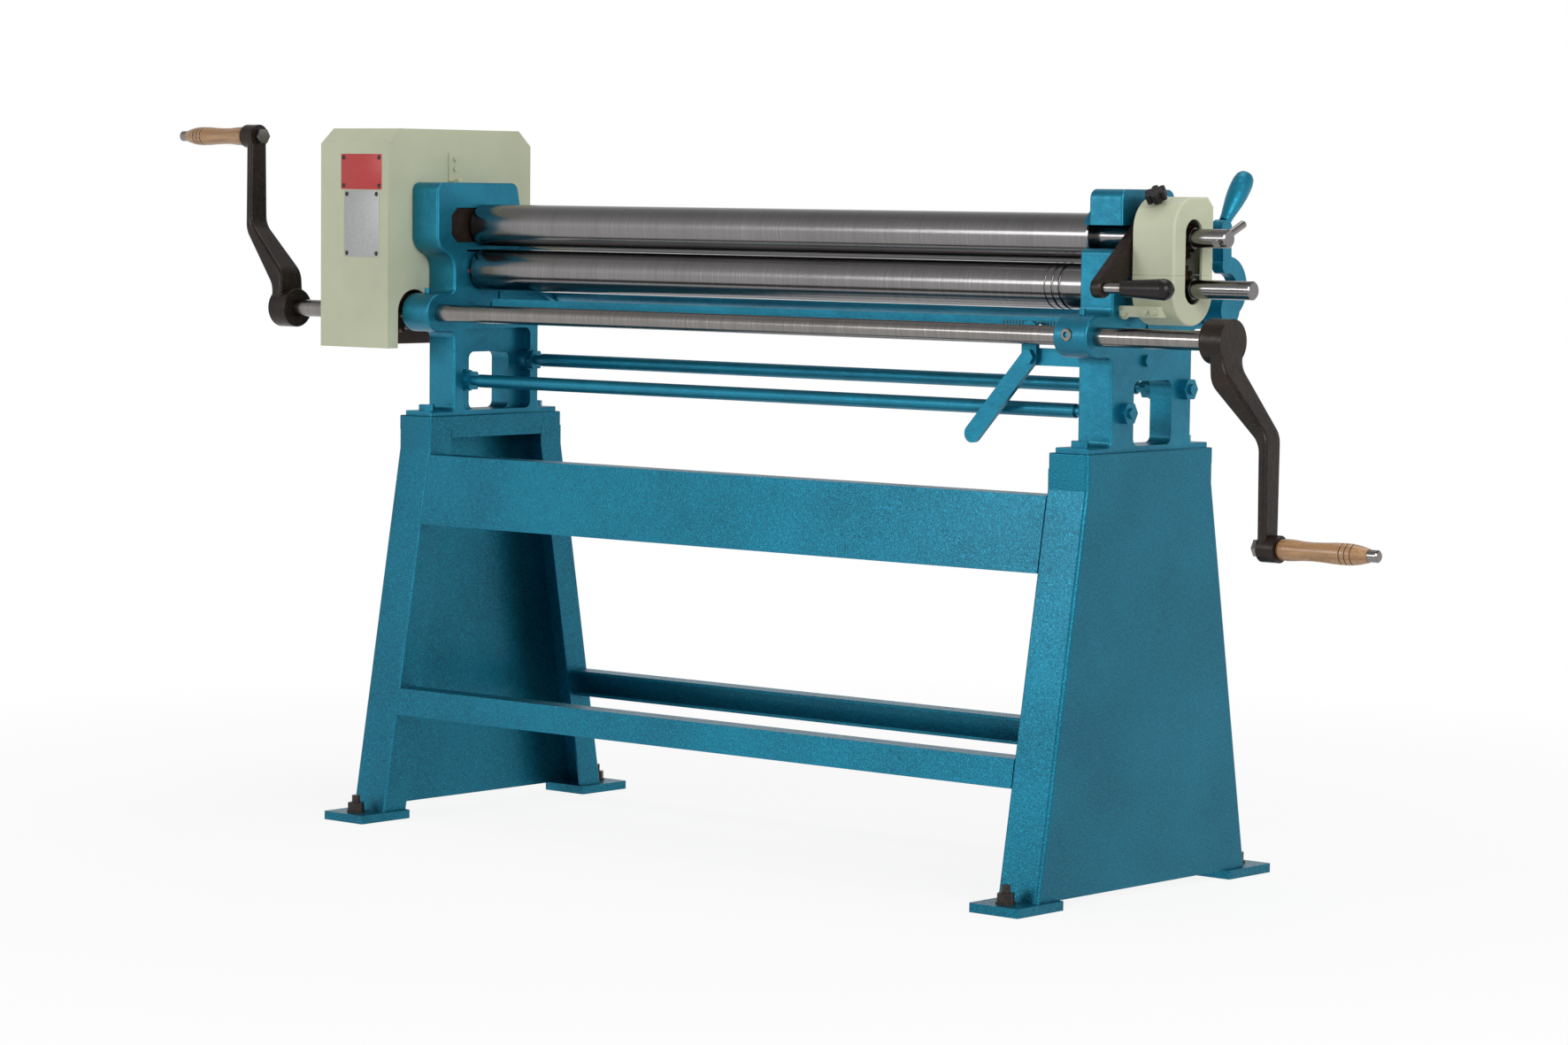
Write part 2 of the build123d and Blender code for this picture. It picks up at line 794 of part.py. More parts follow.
with BuildPart() as lower_bearing_blocks:
    for side in (-1, 1):
        x0 = side * stand_x - block_thickness / 2
        x1 = side * stand_x + block_thickness / 2
        add_block(
            x0,
            x1,
            roll_y - lower_block_width / 2 + seat_clearance,
            roll_y + lower_block_width / 2 - seat_clearance,
            lower_block_bottom_z + seat_clearance,
            lower_block_top_z,
        )
        with BuildSketch(Plane.XZ.offset(-roll_y - tongue_width / 2)):
            with BuildLine():
                Polyline(
                    (x0, wedge_z(x0, side) + seat_clearance),
                    (x1, wedge_z(x1, side) + seat_clearance),
                    (x1, lower_block_bottom_z + 2 * seat_clearance),
                    (x0, lower_block_bottom_z + 2 * seat_clearance),
                    close=True,
                )
            make_face()
        extrude(amount=tongue_width)
        add_rod(
            x0 - overrun,
            x1 + overrun,
            roll_y,
            lower_roll_z,
            journal_radius + running_clearance,
            Mode.SUBTRACT,
        )
save(lower_bearing_blocks.part, "lower_bearing_blocks")

# Wedge bar: slides along the machine and lifts both lower bearing blocks together
bar_front_y = -75
bar_thickness = 8
bar_top_z = 867
bar_bottom_z = 834
bar_left_inset = 69.5
bar_right_inset = 21.5
tongue_inset = 97.5
pivot_inset = 91.5
bar_left_x = -housing_inner_x + bar_left_inset
bar_right_x = housing_inner_x - bar_right_inset
tongue_inner_x = housing_inner_x - tongue_inset
tongue_bridge = 60
lever_pivot_x = housing_inner_x - pivot_inset
lever_pivot_z = 808
lever_arm = 40
lever_pin_radius = 4
lever_slot_width = 10.6
lever_slot_height = 24
slot_drop_share = 2 / 3
slot_top_z = lever_pivot_z + lever_arm + (1 - slot_drop_share) * lever_slot_height
with BuildPart() as wedge_bar:
    add_block(
        bar_left_x, bar_right_x, bar_front_y, bar_front_y + bar_thickness, bar_bottom_z, bar_top_z
    )
    for side, tip_x in ((-1, -housing_outer_x + wedge_travel), (1, housing_outer_x)):
        inner_x = side * tongue_inner_x
        near_x = side * (stand_x - block_thickness / 2)
        floor_z = tongue_slot_bottom_z + seat_clearance
        with BuildSketch(Plane.XZ.offset(-roll_y - tongue_width / 2)):
            with BuildLine():
                Polyline(
                    (inner_x, floor_z),
                    (tip_x, floor_z),
                    (tip_x, wedge_z(tip_x, side)),
                    (near_x, wedge_z(near_x, side)),
                    (inner_x, wedge_z(inner_x, side)),
                    close=True,
                )
            make_face()
        extrude(amount=tongue_width)
        bridge_x = side * (tongue_inner_x + tongue_bridge)
        add_block(
            min(inner_x, bridge_x),
            max(inner_x, bridge_x),
            bar_front_y,
            roll_y,
            tongue_slot_bottom_z + seat_clearance,
            wedge_z(inner_x, side),
        )
    add_block(
        lever_pivot_x - lever_slot_width / 2,
        lever_pivot_x + lever_slot_width / 2,
        bar_front_y - overrun,
        bar_front_y + bar_thickness + overrun,
        slot_top_z - lever_slot_height,
        slot_top_z,
        Mode.SUBTRACT,
    )
save(wedge_bar.part, "wedge_bar")

# Pinch lever: a flat bar on a pivot in front of the wedge bar, with a pin in the bar's slot
lever_thickness = 8
lever_width = 28
lever_back_y = -90
lever_reach_x = 108
lever_reach_z = 120
pivot_radius = 7
pivot_head_radius = 12
pivot_head = 6
bracket_thickness = 12
bracket_height = 26
with BuildPart() as pinch_lever:
    with BuildSketch(Plane.XZ.offset(-lever_back_y)) as outline:
        with BuildLine():
            Polyline(
                (lever_pivot_x - lever_reach_x, lever_pivot_z - lever_reach_z),
                (lever_pivot_x, lever_pivot_z),
                (lever_pivot_x, lever_pivot_z + lever_arm),
            )
        trace(line_width=lever_width)
        with Locations(
            (lever_pivot_x - lever_reach_x, lever_pivot_z - lever_reach_z),
            (lever_pivot_x, lever_pivot_z),
            (lever_pivot_x, lever_pivot_z + lever_arm),
        ):
            Circle(lever_width / 2)
        with Locations((lever_pivot_x, lever_pivot_z)):
            Circle(pivot_radius + running_clearance, mode=Mode.SUBTRACT)
    extrude(amount=lever_thickness)
    with BuildSketch(Plane.XZ.offset(-bar_front_y - bar_thickness)):
        with Locations((lever_pivot_x, lever_pivot_z + lever_arm)):
            Circle(lever_pin_radius)
    extrude(amount=bar_front_y + bar_thickness - lever_back_y)
save(pinch_lever.part, "pinch_lever")

bracket_front_y = lever_back_y + seat_clearance
with BuildPart() as lever_bracket:
    add_block(
        lever_pivot_x,
        housing_inner_x,
        bracket_front_y,
        bracket_front_y + bracket_thickness,
        lever_pivot_z - bracket_height / 2,
        lever_pivot_z + bracket_height / 2,
    )
    with BuildSketch(Plane.XZ.offset(-bracket_front_y - bracket_thickness)):
        with Locations((lever_pivot_x, lever_pivot_z)):
            Circle(bracket_height / 2)
    extrude(amount=bracket_thickness)
    with BuildSketch(Plane.XZ.offset(-bracket_front_y)):
        with Locations((lever_pivot_x, lever_pivot_z)):
            Circle(pivot_radius)
    extrude(amount=lever_thickness + 2 * seat_clearance)
save(lever_bracket.part, "lever_bracket")

with BuildPart() as pivot_bolt:
    pivot_head_y = bracket_front_y - lever_thickness - 2 * seat_clearance
    with BuildSketch(Plane.XZ.offset(-pivot_head_y)):
        with Locations((lever_pivot_x, lever_pivot_z)):
            RegularPolygon(pivot_head_radius, 6)
    extrude(amount=pivot_head)
save(pivot_bolt.part, "pivot_bolt")

# Crank shaft: one long shaft through both housings, the cover and the pinion
right_hub_outset = 222.5
left_hub_outset = 306.5
right_hub_x = housing_outer_x + right_hub_outset
left_hub_x = -housing_outer_x - left_hub_outset
hub_width = 40
hub_radius = 33
hub_cap = 7
with BuildPart() as crank_shaft:
    add_rod(
        left_hub_x - hub_width / 2 + hub_cap,
        right_hub_x + hub_width / 2 - hub_cap,
        crank_y,
        crank_z,
        crank_shaft_radius,
    )
save(crank_shaft.part, "crank_shaft")

# Cranks: a closed hub, an arm that sweeps outward and narrows, and an end boss for the grip
arm_offset = 78
arm_thickness = 24
arm_end_thickness = 15
arm_hub_width = 58
arm_knee_width = 40
arm_end_width = 36
knee_near = 37
knee_far = 131
knee_radius = 34
end_boss_radius = 20
end_boss_length = 30
arm_edge = 6
hub_edge = 3
spindle_radius = 6
grip_length = 152
grip_radius = 16
grip_gap = 0.5
tip_radius = 9
tip_length = 16


def crank(hub_x, side, way):
    """Crank with its hub centred at hub_x: side is the outward X, way is up or down."""
    near_x = hub_x + side * (hub_width - arm_thickness) / 2
    far_x = near_x + side * arm_offset
    near_half = side * arm_thickness / 2
    far_half = side * arm_end_thickness / 2
    end_z = crank_z + way * crank_radius
    knee_z = crank_z + way * knee_far
    with BuildPart() as casting:
        with BuildSketch(Plane.XZ.offset(-crank_y - hub_radius)):
            with BuildLine():
                Polyline(
                    (near_x - near_half, crank_z),
                    (near_x - near_half, crank_z + way * (knee_near + arm_thickness)),
                    (far_x - far_half, knee_z + way * arm_thickness / 2),
                    (far_x - far_half, end_z),
                    (far_x + far_half, end_z),
                    (far_x + far_half, knee_z),
                    (near_x + near_half, crank_z + way * knee_near),
                    (near_x + near_half, crank_z),
                    close=True,
                )
            make_face()
        extrude(amount=2 * hub_radius)
        knees = [
            edge
            for edge in casting.edges().filter_by(Axis.Y)
            if touch < abs(edge.center().Z - crank_z) < crank_radius - touch
        ]
        fillet(knees, knee_radius)
        low_x = min(near_x - near_half, far_x + far_half)
        with BuildSketch(Plane.YZ.offset(low_x - overrun)):
            with BuildLine():
                Polyline(
                    (crank_y - arm_hub_width / 2, crank_z),
                    (crank_y - arm_knee_width / 2, knee_z),
                    (crank_y - arm_end_width / 2, end_z),
                    (crank_y + arm_end_width / 2, end_z),
                    (crank_y + arm_knee_width / 2, knee_z),
                    (crank_y + arm_hub_width / 2, crank_z),
                    close=True,
                )
            make_face()
        extrude(amount=arm_offset + arm_thickness + 2 * overrun, mode=Mode.INTERSECT)
        long_edges = [
            edge
            for edge in casting.edges()
            if edge.length > arm_thickness + touch and edge.bounding_box().size.Y < arm_end_thickness
        ]
        fillet(long_edges, arm_edge)
        add_rod(hub_x - hub_width / 2, hub_x + hub_width / 2, crank_y, crank_z, hub_radius)
        inner_face = hub_x - side * hub_width / 2
        hub_rim = [
            edge
            for edge in casting.edges().filter_by(GeomType.CIRCLE)
            if abs(edge.center().X - inner_face) < touch
        ]
        fillet(hub_rim, hub_edge)
        boss_x = far_x + side * (end_boss_length - arm_end_thickness) / 2
        add_rod(
            boss_x - end_boss_length / 2,
            boss_x + end_boss_length / 2,
            crank_y,
            end_z,
            end_boss_radius,
        )
        bore_start = inner_face - side * overrun
        bore_end = hub_x + side * (hub_width / 2 - hub_cap)
        add_rod(
            min(bore_start, bore_end),
            max(bore_start, bore_end),
            crank_y,
            crank_z,
            crank_shaft_radius,
            Mode.SUBTRACT,
        )
        add_rod(
            boss_x - end_boss_length,
            boss_x + end_boss_length,
            crank_y,
            end_z,
            spindle_radius,
            Mode.SUBTRACT,
        )
    return casting.part, boss_x


# Shape of a turned wooden grip: shares of its length from the crank outwards, and of its radius.
# Three grooves run round it near the far end.
grip_shares = (
    (0.0, 0.80),
    (0.03, 0.94),
    (0.08, 1.0),
    (0.16, 0.97),
    (0.27, 0.88),
    (0.38, 0.86),
    (0.50, 0.90),
    (0.62, 0.97),
    (0.70, 0.99),
    (0.715, 0.93),
    (0.73, 0.99),
    (0.76, 0.99),
    (0.775, 0.92),
    (0.79, 0.98),
    (0.82, 0.96),
    (0.835, 0.89),
    (0.85, 0.93),
    (0.92, 0.82),
    (0.97, 0.70),
    (1.0, 0.62),
)


def grip(start_x, side, z):
    """Turned wooden grip that starts at start_x and runs outward."""
    bore = spindle_radius + running_clearance
    profile = [(start_x + side * u * grip_length, r * grip_radius) for u, r in grip_shares]
    with BuildPart() as wood:
        with BuildSketch(Plane.XZ):
            with BuildLine():
                Polyline(
                    (start_x, bore), *profile, (start_x + side * grip_length, bore), close=True
                )
            make_face()
        revolve(axis=Axis.X)
    return wood.part.moved(Location((0, crank_y, z)))


for label, hub_x, side, way in (("right", right_hub_x, 1, -1), ("left", left_hub_x, -1, 1)):
    casting, boss_x = crank(hub_x, side, way)
    save(casting, f"{label}_crank")
    boss_face = boss_x + side * end_boss_length / 2
    z = crank_z + way * crank_radius
    save(grip(boss_face + side * grip_gap, side, z), f"{label}_grip")
    back_face = boss_x - side * end_boss_length / 2
    tip_start = boss_face + side * (grip_length + 2 * grip_gap)
    with BuildPart() as spindle:
        add_rod(min(back_face, tip_start), max(back_face, tip_start), crank_y, z, spindle_radius)
        tip_end = tip_start + side * tip_length
        add_rod(min(tip_start, tip_end), max(tip_start, tip_end), crank_y, z, tip_radius)
        tip_face = spindle.faces().sort_by(Axis.X)[-1 if side > 0 else 0]
        chamfer(tip_face.edges(), end_chamfer)
        nut_start = back_face - side * tie_nut_height
        with BuildSketch(Plane.YZ.offset(min(back_face, nut_start))):
            with Locations((crank_y, z)):
                RegularPolygon(bolt_across / 2, 6, major_radius=False)
        extrude(amount=tie_nut_height)
    save(spindle.part, f"{label}_grip_spindle")

# Lock lever: turns on the top roll's right journal and carries a rod with a plastic grip
lock_gap = 1
lock_x = housing_outer_x + lock_gap
lock_thickness = 17
lock_hub_radius = 31
lock_elbow_y = -138
lock_elbow_z = 915
lock_elbow_radius = 15
lock_rod_radius = 8
lock_rod_length = 34
lock_grip_length = 88
lock_grip_radius = 12
lock_dome = 16
lock_chamfer = 3
with BuildPart() as lock_arm:
    with BuildSketch(Plane.YZ.offset(lock_x)):
        with Locations((roll_y, top_roll_z)):
            Circle(lock_hub_radius)
        with Locations((lock_elbow_y, lock_elbow_z)):
            Circle(lock_elbow_radius)
        make_hull()
        with Locations((roll_y, top_roll_z)):
            Circle(journal_radius + running_clearance, mode=Mode.SUBTRACT)
    extrude(amount=lock_thickness)
    chamfer(lock_arm.faces().sort_by(Axis.X)[-1].outer_wire().edges(), lock_chamfer)
save(lock_arm.part, "lock_arm")

with BuildPart() as lock_rod:
    add_rod(
        lock_x + lock_thickness,
        lock_x + lock_thickness + lock_rod_length,
        lock_elbow_y,
        lock_elbow_z,
        lock_rod_radius,
    )
save(lock_rod.part, "lock_rod")

with BuildPart() as lock_grip:
    grip_start_x = lock_x + lock_thickness + lock_rod_length
    grip_end_x = grip_start_x + lock_grip_length
    dome_slant = lock_dome / math.sqrt(2)
    with BuildSketch(Plane.XZ):
        with BuildLine():
            Polyline(
                (grip_end_x, 0),
                (grip_start_x, 0),
                (grip_start_x, lock_grip_radius),
                (grip_end_x - lock_dome, lock_dome),
            )
            ThreePointArc(
                (grip_end_x - lock_dome, lock_dome),
                (grip_end_x - lock_dome + dome_slant, dome_slant),
                (grip_end_x, 0),
            )
        make_face()
    revolve(axis=Axis.X)
save(lock_grip.part.moved(Location((0, lock_elbow_y, lock_elbow_z))), "lock_grip")

# Guard over the gear pair: a shell in two halves, open towards the housing
guard_wall = 4
guard_radius = 49.5
guard_low_z = 909
guard_high_z = 1000
guard_seam_z = 934
guard_hole_radius = 21
guard_hole_low_z = 912
guard_hole_high_z = 996
guard_corner = 14
guard_edge = 4
with BuildPart() as guard:
    with BuildSketch(Plane.YZ.offset(guard_x)) as outline:
        with Locations((roll_y, guard_low_z), (roll_y, guard_high_z)):
            Circle(guard_radius)
        with Locations((roll_y, (guard_low_z + guard_high_z) / 2)):
            Rectangle(2 * guard_radius, guard_high_z - guard_low_z)
        with Locations((roll_y + guard_radius / 2, guard_high_z + guard_radius / 2)):
            Rectangle(guard_radius, guard_radius)
        chamfer(outline.vertices().group_by(Axis.Y)[-1].sort_by(Axis.X)[-1:], guard_corner)
    extrude(amount=guard_end_x - guard_x)
    fillet(guard.faces().sort_by(Axis.X)[-1].outer_wire().edges(), guard_edge)
    with BuildSketch(Plane.YZ.offset(guard_x)) as cavity:
        with Locations((roll_y, guard_low_z), (roll_y, guard_high_z)):
            Circle(guard_radius - guard_wall)
        with Locations((roll_y, (guard_low_z + guard_high_z) / 2)):
            Rectangle(2 * (guard_radius - guard_wall), guard_high_z - guard_low_z)
    extrude(amount=guard_end_x - guard_x - guard_wall, mode=Mode.SUBTRACT)
    with BuildSketch(Plane.YZ.offset(guard_x)) as opening:
        with Locations((roll_y, guard_hole_low_z), (roll_y, guard_hole_high_z)):
            Circle(guard_hole_radius)
        with Locations((roll_y, (guard_hole_low_z + guard_hole_high_z) / 2)):
            Rectangle(2 * guard_hole_radius, guard_hole_high_z - guard_hole_low_z)
    extrude(amount=guard_end_x - guard_x, mode=Mode.SUBTRACT)

bracket_plate = 3
bracket_low_z = 872
bracket_high_z = 888
bracket_reach = 51
bracket_end_x = guard_x + bracket_reach
guard_front_y = roll_y - guard_radius
bracket_y = guard_front_y - bracket_plate
screw_radius = 5
screw_head = 4
screw_inset = 26
screw_pitch = 16
eye_radius = 9
eye_drop = 3
bracket_screw_z = (bracket_low_z + bracket_high_z) / 2
eye_x = housing_outer_x + eye_radius
eye_z = bracket_screw_z - eye_drop
with BuildPart() as lower_guard:
    add(guard.part)
    split(bisect_by=Plane.XY.offset(guard_seam_z), keep=Keep.BOTTOM)
    add_block(
        guard_x,
        bracket_end_x,
        guard_front_y,
        guard_front_y + guard_radius / 2,
        bracket_low_z,
        bracket_high_z,
    )
    with BuildSketch(Plane.YZ.offset(guard_x)):
        with Locations((roll_y, guard_low_z)):
            Circle(guard_radius - guard_wall)
    extrude(amount=guard_end_x - guard_x - guard_wall, mode=Mode.SUBTRACT)
save(lower_guard.part, "lower_guard")

with BuildPart() as upper_guard:
    add(guard.part)
    split(bisect_by=Plane.XY.offset(guard_seam_z + seat_clearance), keep=Keep.TOP)
save(upper_guard.part, "upper_guard")

with BuildPart() as guard_bracket:
    add_block(
        housing_outer_x, bracket_end_x, bracket_y, guard_front_y, bracket_low_z, bracket_high_z
    )
    add_block(
        housing_outer_x,
        housing_outer_x + bracket_plate,
        guard_front_y,
        guard_front_y + guard_radius / 2,
        bracket_low_z,
        bracket_high_z,
    )
    with BuildSketch(Plane.XZ.offset(-guard_front_y)):
        with Locations((eye_x, eye_z)):
            Circle(eye_radius)
    extrude(amount=bracket_plate)
save(guard_bracket.part, "guard_bracket")

with BuildPart() as guard_screws:
    with BuildSketch(Plane.XZ.offset(-bracket_y)):
        with Locations(
            (eye_x, eye_z),
            (guard_x + screw_inset, bracket_screw_z),
            (guard_x + screw_inset + screw_pitch, bracket_screw_z),
        ):
            Circle(screw_radius)
    extrude(amount=screw_head)
save(guard_screws.part, "guard_screws")

# Knob that holds the upper guard down
knob_tilt = 35
knob_radius = 12
knob_lobe_radius = 5
knob_lobes = 6
knob_height = 14
knob_stem_radius = 5
knob_stem = 7
knob_inset = 31
knob_x = guard_x + knob_inset
knob_plane = Plane(
    origin=(
        knob_x,
        roll_y - guard_radius * math.sin(math.radians(knob_tilt)),
        guard_high_z + guard_radius * math.cos(math.radians(knob_tilt)),
    ),
    x_dir=(1, 0, 0),
    z_dir=(0, -math.sin(math.radians(knob_tilt)), math.cos(math.radians(knob_tilt))),
)
with BuildPart() as guard_knob:
    with BuildSketch(knob_plane.offset(seat_clearance)):
        Circle(knob_stem_radius)
    extrude(amount=knob_stem)
    with BuildSketch(knob_plane.offset(knob_stem)):
        Circle(knob_radius)
        with PolarLocations(knob_radius, knob_lobes):
            Circle(knob_lobe_radius)
    extrude(amount=knob_height)
save(guard_knob.part, "guard_knob")

# Gear cover on the left: folded sheet with bevelled top corners, open below
cover_wall = 3
cover_outset = 1
cover_gear_gap = 97
cover_front_gap = 10.2
cover_rear_gap = 23.2
cover_top_gap = 7.2
cover_drop = 60.4
gear_tip = drive_module * (drive_teeth / 2 + addendum_share)
cover_outer_x = drive_gear_x - cover_gear_gap
cover_inner_x = -housing_outer_x - cover_outset
cover_front_y = roll_y - gear_tip - cover_front_gap - cover_wall
cover_rear_y = roll_y + gear_tip + cover_rear_gap + cover_wall
cover_top_z = top_roll_z + gear_tip + cover_top_gap + cover_wall
cover_bottom_z = crank_z - cover_drop
cover_bevel_y = 29
cover_bevel_z = 26
cover_hole_radius = 32
cover_arch_radius = 38
cover_shaft_gap = 2


def cover_outline(inset):
    """Outline of the cover in Y and Z, moved inwards by the given amount."""
    cut = inset * math.tan(math.radians(45) / 2)
    return (
        (cover_front_y + inset, cover_bottom_z),
        (cover_front_y + inset, cover_top_z - cover_bevel_z - cut),
        (cover_front_y + cover_bevel_y + cut, cover_top_z - inset),
        (cover_rear_y - cover_bevel_y - cut, cover_top_z - inset),
        (cover_rear_y - inset, cover_top_z - cover_bevel_z - cut),
        (cover_rear_y - inset, cover_bottom_z),
    )


with BuildPart() as gear_cover:
    with BuildSketch(Plane.YZ.offset(cover_outer_x)):
        with BuildLine():
            Polyline(*cover_outline(0), close=True)
        make_face()
    extrude(amount=cover_inner_x - cover_outer_x)
    with BuildSketch(Plane.YZ.offset(cover_outer_x + cover_wall)):
        with BuildLine():
            Polyline(*cover_outline(cover_wall), close=True)
        make_face()
    extrude(amount=cover_inner_x - cover_outer_x - 2 * cover_wall, mode=Mode.SUBTRACT)
    add_rod(
        cover_inner_x - 2 * cover_wall,
        cover_inner_x + overrun,
        roll_y,
        top_roll_z,
        cover_hole_radius,
        Mode.SUBTRACT,
    )
    add_rod(
        cover_inner_x - 2 * cover_wall,
        cover_inner_x + overrun,
        crank_y,
        crank_z,
        cover_arch_radius,
        Mode.SUBTRACT,
    )
    add_block(
        cover_inner_x - 2 * cover_wall,
        cover_inner_x + overrun,
        crank_y - cover_arch_radius,
        cover_rear_y - cover_wall,
        cover_bottom_z - overrun,
        crank_z,
        Mode.SUBTRACT,
    )
    add_rod(
        cover_outer_x - overrun,
        cover_outer_x + 2 * cover_wall,
        crank_y,
        crank_z,
        crank_shaft_radius + cover_shaft_gap,
        Mode.SUBTRACT,
    )
save(gear_cover.part, "gear_cover")

# Bracket between the housing's head and the cover, with its screws
catch_front_y = -50
catch_rear_y = -24
catch_top_z = 1110
catch_foot = 24
with BuildPart() as cover_bracket:
    add_block(
        cover_inner_x,
        cover_inner_x + bracket_plate,
        catch_front_y,
        catch_rear_y,
        head_top_z,
        catch_top_z,
    )
    add_block(
        cover_inner_x + bracket_plate,
        cover_inner_x + bracket_plate + catch_foot,
        catch_front_y,
        catch_rear_y,
        head_top_z,
        head_top_z + bracket_plate,
    )
save(cover_bracket.part, "cover_bracket")

catch_y = (catch_front_y + catch_rear_y) / 2
catch_screw_radius = 4
catch_screw_drop = 10
catch_screw_pitch = 17
with BuildPart() as cover_screws:
    with BuildSketch(Plane.XY.offset(head_top_z + bracket_plate)):
        with Locations((cover_inner_x + bracket_plate + catch_foot / 2, catch_y)):
            Circle(screw_radius)
    extrude(amount=screw_head)
    with BuildSketch(Plane.YZ.offset(cover_inner_x + bracket_plate)):
        for place in (catch_screw_drop, catch_screw_drop + catch_screw_pitch):
            with Locations((catch_y, catch_top_z - place)):
                Circle(catch_screw_radius)
    extrude(amount=screw_head)
save(cover_screws.part, "cover_screws")

# Rear roll carriage: a cross shaft with an arm inside each housing and a lever outside the right
arm_plate = 16
arm_boss_radius = 25
rear_journal_radius = 12
rear_roll_gap = 0.5
lever_hub_gap = 4
lever_hub_width = 38
lever_hub_radius = 24
lever_hub_cap = 6
swing_arm_gap = 1
lever_hub_x = housing_outer_x + lever_hub_gap
swing_arm_outer = housing_inner_x - swing_arm_gap
swing_arm_inner = swing_arm_outer - arm_plate
rear_roll_half = swing_arm_inner - rear_roll_gap
with BuildPart() as swing_shaft:
    add_rod(
        -housing_outer_x,
        lever_hub_x + lever_hub_width - lever_hub_cap,
        swing_y,
        swing_z,
        swing_shaft_radius,
    )
save(swing_shaft.part, "swing_shaft")

with BuildPart() as swing_arms:
    for side in (-1, 1):
        start = min(side * swing_arm_inner, side * swing_arm_outer)
        with BuildSketch(Plane.YZ.offset(start)):
            with Locations((swing_y, swing_z), (rear_roll_y, rear_roll_z)):
                Circle(arm_boss_radius)
            make_hull()
            with Locations((swing_y, swing_z)):
                Circle(swing_shaft_radius, mode=Mode.SUBTRACT)
            with Locations((rear_roll_y, rear_roll_z)):
                Circle(rear_journal_radius + running_clearance, mode=Mode.SUBTRACT)
        extrude(amount=arm_plate)
save(swing_arms.part, "swing_arms")

with BuildPart() as rear_roll:
    add_rod(-rear_roll_half, rear_roll_half, rear_roll_y, rear_roll_z, roll_radius)
    chamfer(rear_roll.edges().filter_by(GeomType.CIRCLE), end_chamfer)
    add_rod(-swing_arm_outer, swing_arm_outer, rear_roll_y, rear_roll_z, rear_journal_radius)
save(rear_roll.part, "rear_roll")

# Rear lever: a cast crescent that swells to the back, then a turned round handle
crescent_y = 186
crescent_z = 908
neck_y = 148
neck_z = 947
top_boss_y = 145
top_boss_z = 1003
top_boss_radius = 13
lever_plate = 20
lever_neck_width = 22
handle_end_y = 208
handle_end_z = 1086
handle_radius = 16.5
crescent_width = 26
lever_middle_x = lever_hub_x + lever_hub_width / 2
with BuildPart() as rear_lever:
    add_rod(lever_hub_x, lever_hub_x + lever_hub_width, swing_y, swing_z, lever_hub_radius)
    with BuildSketch(Plane.YZ.offset(lever_middle_x - lever_plate / 2)):
        with BuildLine():
            ThreePointArc((swing_y, swing_z), (crescent_y, crescent_z), (neck_y, neck_z))
        trace(line_width=crescent_width)
        with BuildLine():
            Line((neck_y, neck_z), (top_boss_y, top_boss_z))
        trace(line_width=lever_neck_width)
        with Locations((top_boss_y, top_boss_z)):
            Circle(top_boss_radius)
        with Locations((neck_y, neck_z)):
            Circle(crescent_width / 2)
    extrude(amount=lever_plate)
    add_rod(
        lever_hub_x - overrun,
        lever_hub_x + lever_hub_width - lever_hub_cap,
        swing_y,
        swing_z,
        swing_shaft_radius,
        Mode.SUBTRACT,
    )
save(rear_lever.part, "rear_lever")

# Shape of the rear handle: shares of its length from the boss upwards, and of its radius
handle_shares = (
    (0.0, 0.55),
    (0.12, 0.62),
    (0.25, 0.74),
    (0.40, 0.88),
    (0.55, 0.97),
    (0.70, 1.0),
    (0.82, 0.97),
    (0.91, 0.86),
    (0.965, 0.66),
    (0.99, 0.42),
    (1.0, 0.0),
)
handle_run = math.hypot(handle_end_y - top_boss_y, handle_end_z - top_boss_z) - top_boss_radius
handle_tilt = math.degrees(math.atan2(handle_end_y - top_boss_y, handle_end_z - top_boss_z))
with BuildPart() as rear_handle:
    with BuildSketch(Plane.XZ):
        with BuildLine():
            Polyline(
                (0, 0), *[(r * handle_radius, u * handle_run) for u, r in handle_shares], close=True
            )
        make_face()
    revolve(axis=Axis.Z)
handle_foot = Location(
    (
        lever_middle_x,
        top_boss_y + top_boss_radius * math.sin(math.radians(handle_tilt)),
        top_boss_z + top_boss_radius * math.cos(math.radians(handle_tilt)),
    ),
    (-handle_tilt, 0, 0),
)
save(rear_handle.part.moved(handle_foot), "rear_handle")

# Small fittings on the crank lugs
oiler_radius = 5
oiler_height = 9
with BuildPart() as oil_cups:
    with BuildSketch(Plane.XY.offset(crank_z + crank_lug_radius)):
        with Locations((-stand_x, crank_y), (stand_x, crank_y)):
            Circle(oiler_radius)
    extrude(amount=oiler_height)
save(oil_cups.part, "oil_cups")
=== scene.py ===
import math
import bmesh
import bpy
from mathutils import Matrix, Vector


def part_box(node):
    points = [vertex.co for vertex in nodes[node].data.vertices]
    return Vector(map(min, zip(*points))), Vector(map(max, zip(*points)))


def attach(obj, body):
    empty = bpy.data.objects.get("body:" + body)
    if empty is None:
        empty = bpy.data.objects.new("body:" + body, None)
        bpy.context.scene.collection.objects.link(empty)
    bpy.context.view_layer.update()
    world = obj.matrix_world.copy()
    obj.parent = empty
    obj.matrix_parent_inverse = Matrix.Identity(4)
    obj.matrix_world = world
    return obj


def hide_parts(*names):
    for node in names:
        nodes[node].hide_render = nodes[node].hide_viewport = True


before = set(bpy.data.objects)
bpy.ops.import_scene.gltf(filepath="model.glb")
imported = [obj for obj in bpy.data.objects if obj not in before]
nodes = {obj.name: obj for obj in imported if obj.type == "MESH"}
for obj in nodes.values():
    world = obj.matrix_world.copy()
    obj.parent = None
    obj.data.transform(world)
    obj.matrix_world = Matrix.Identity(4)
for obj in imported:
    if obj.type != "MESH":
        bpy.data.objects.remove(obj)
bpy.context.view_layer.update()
scene = bpy.context.scene
MM = 0.001
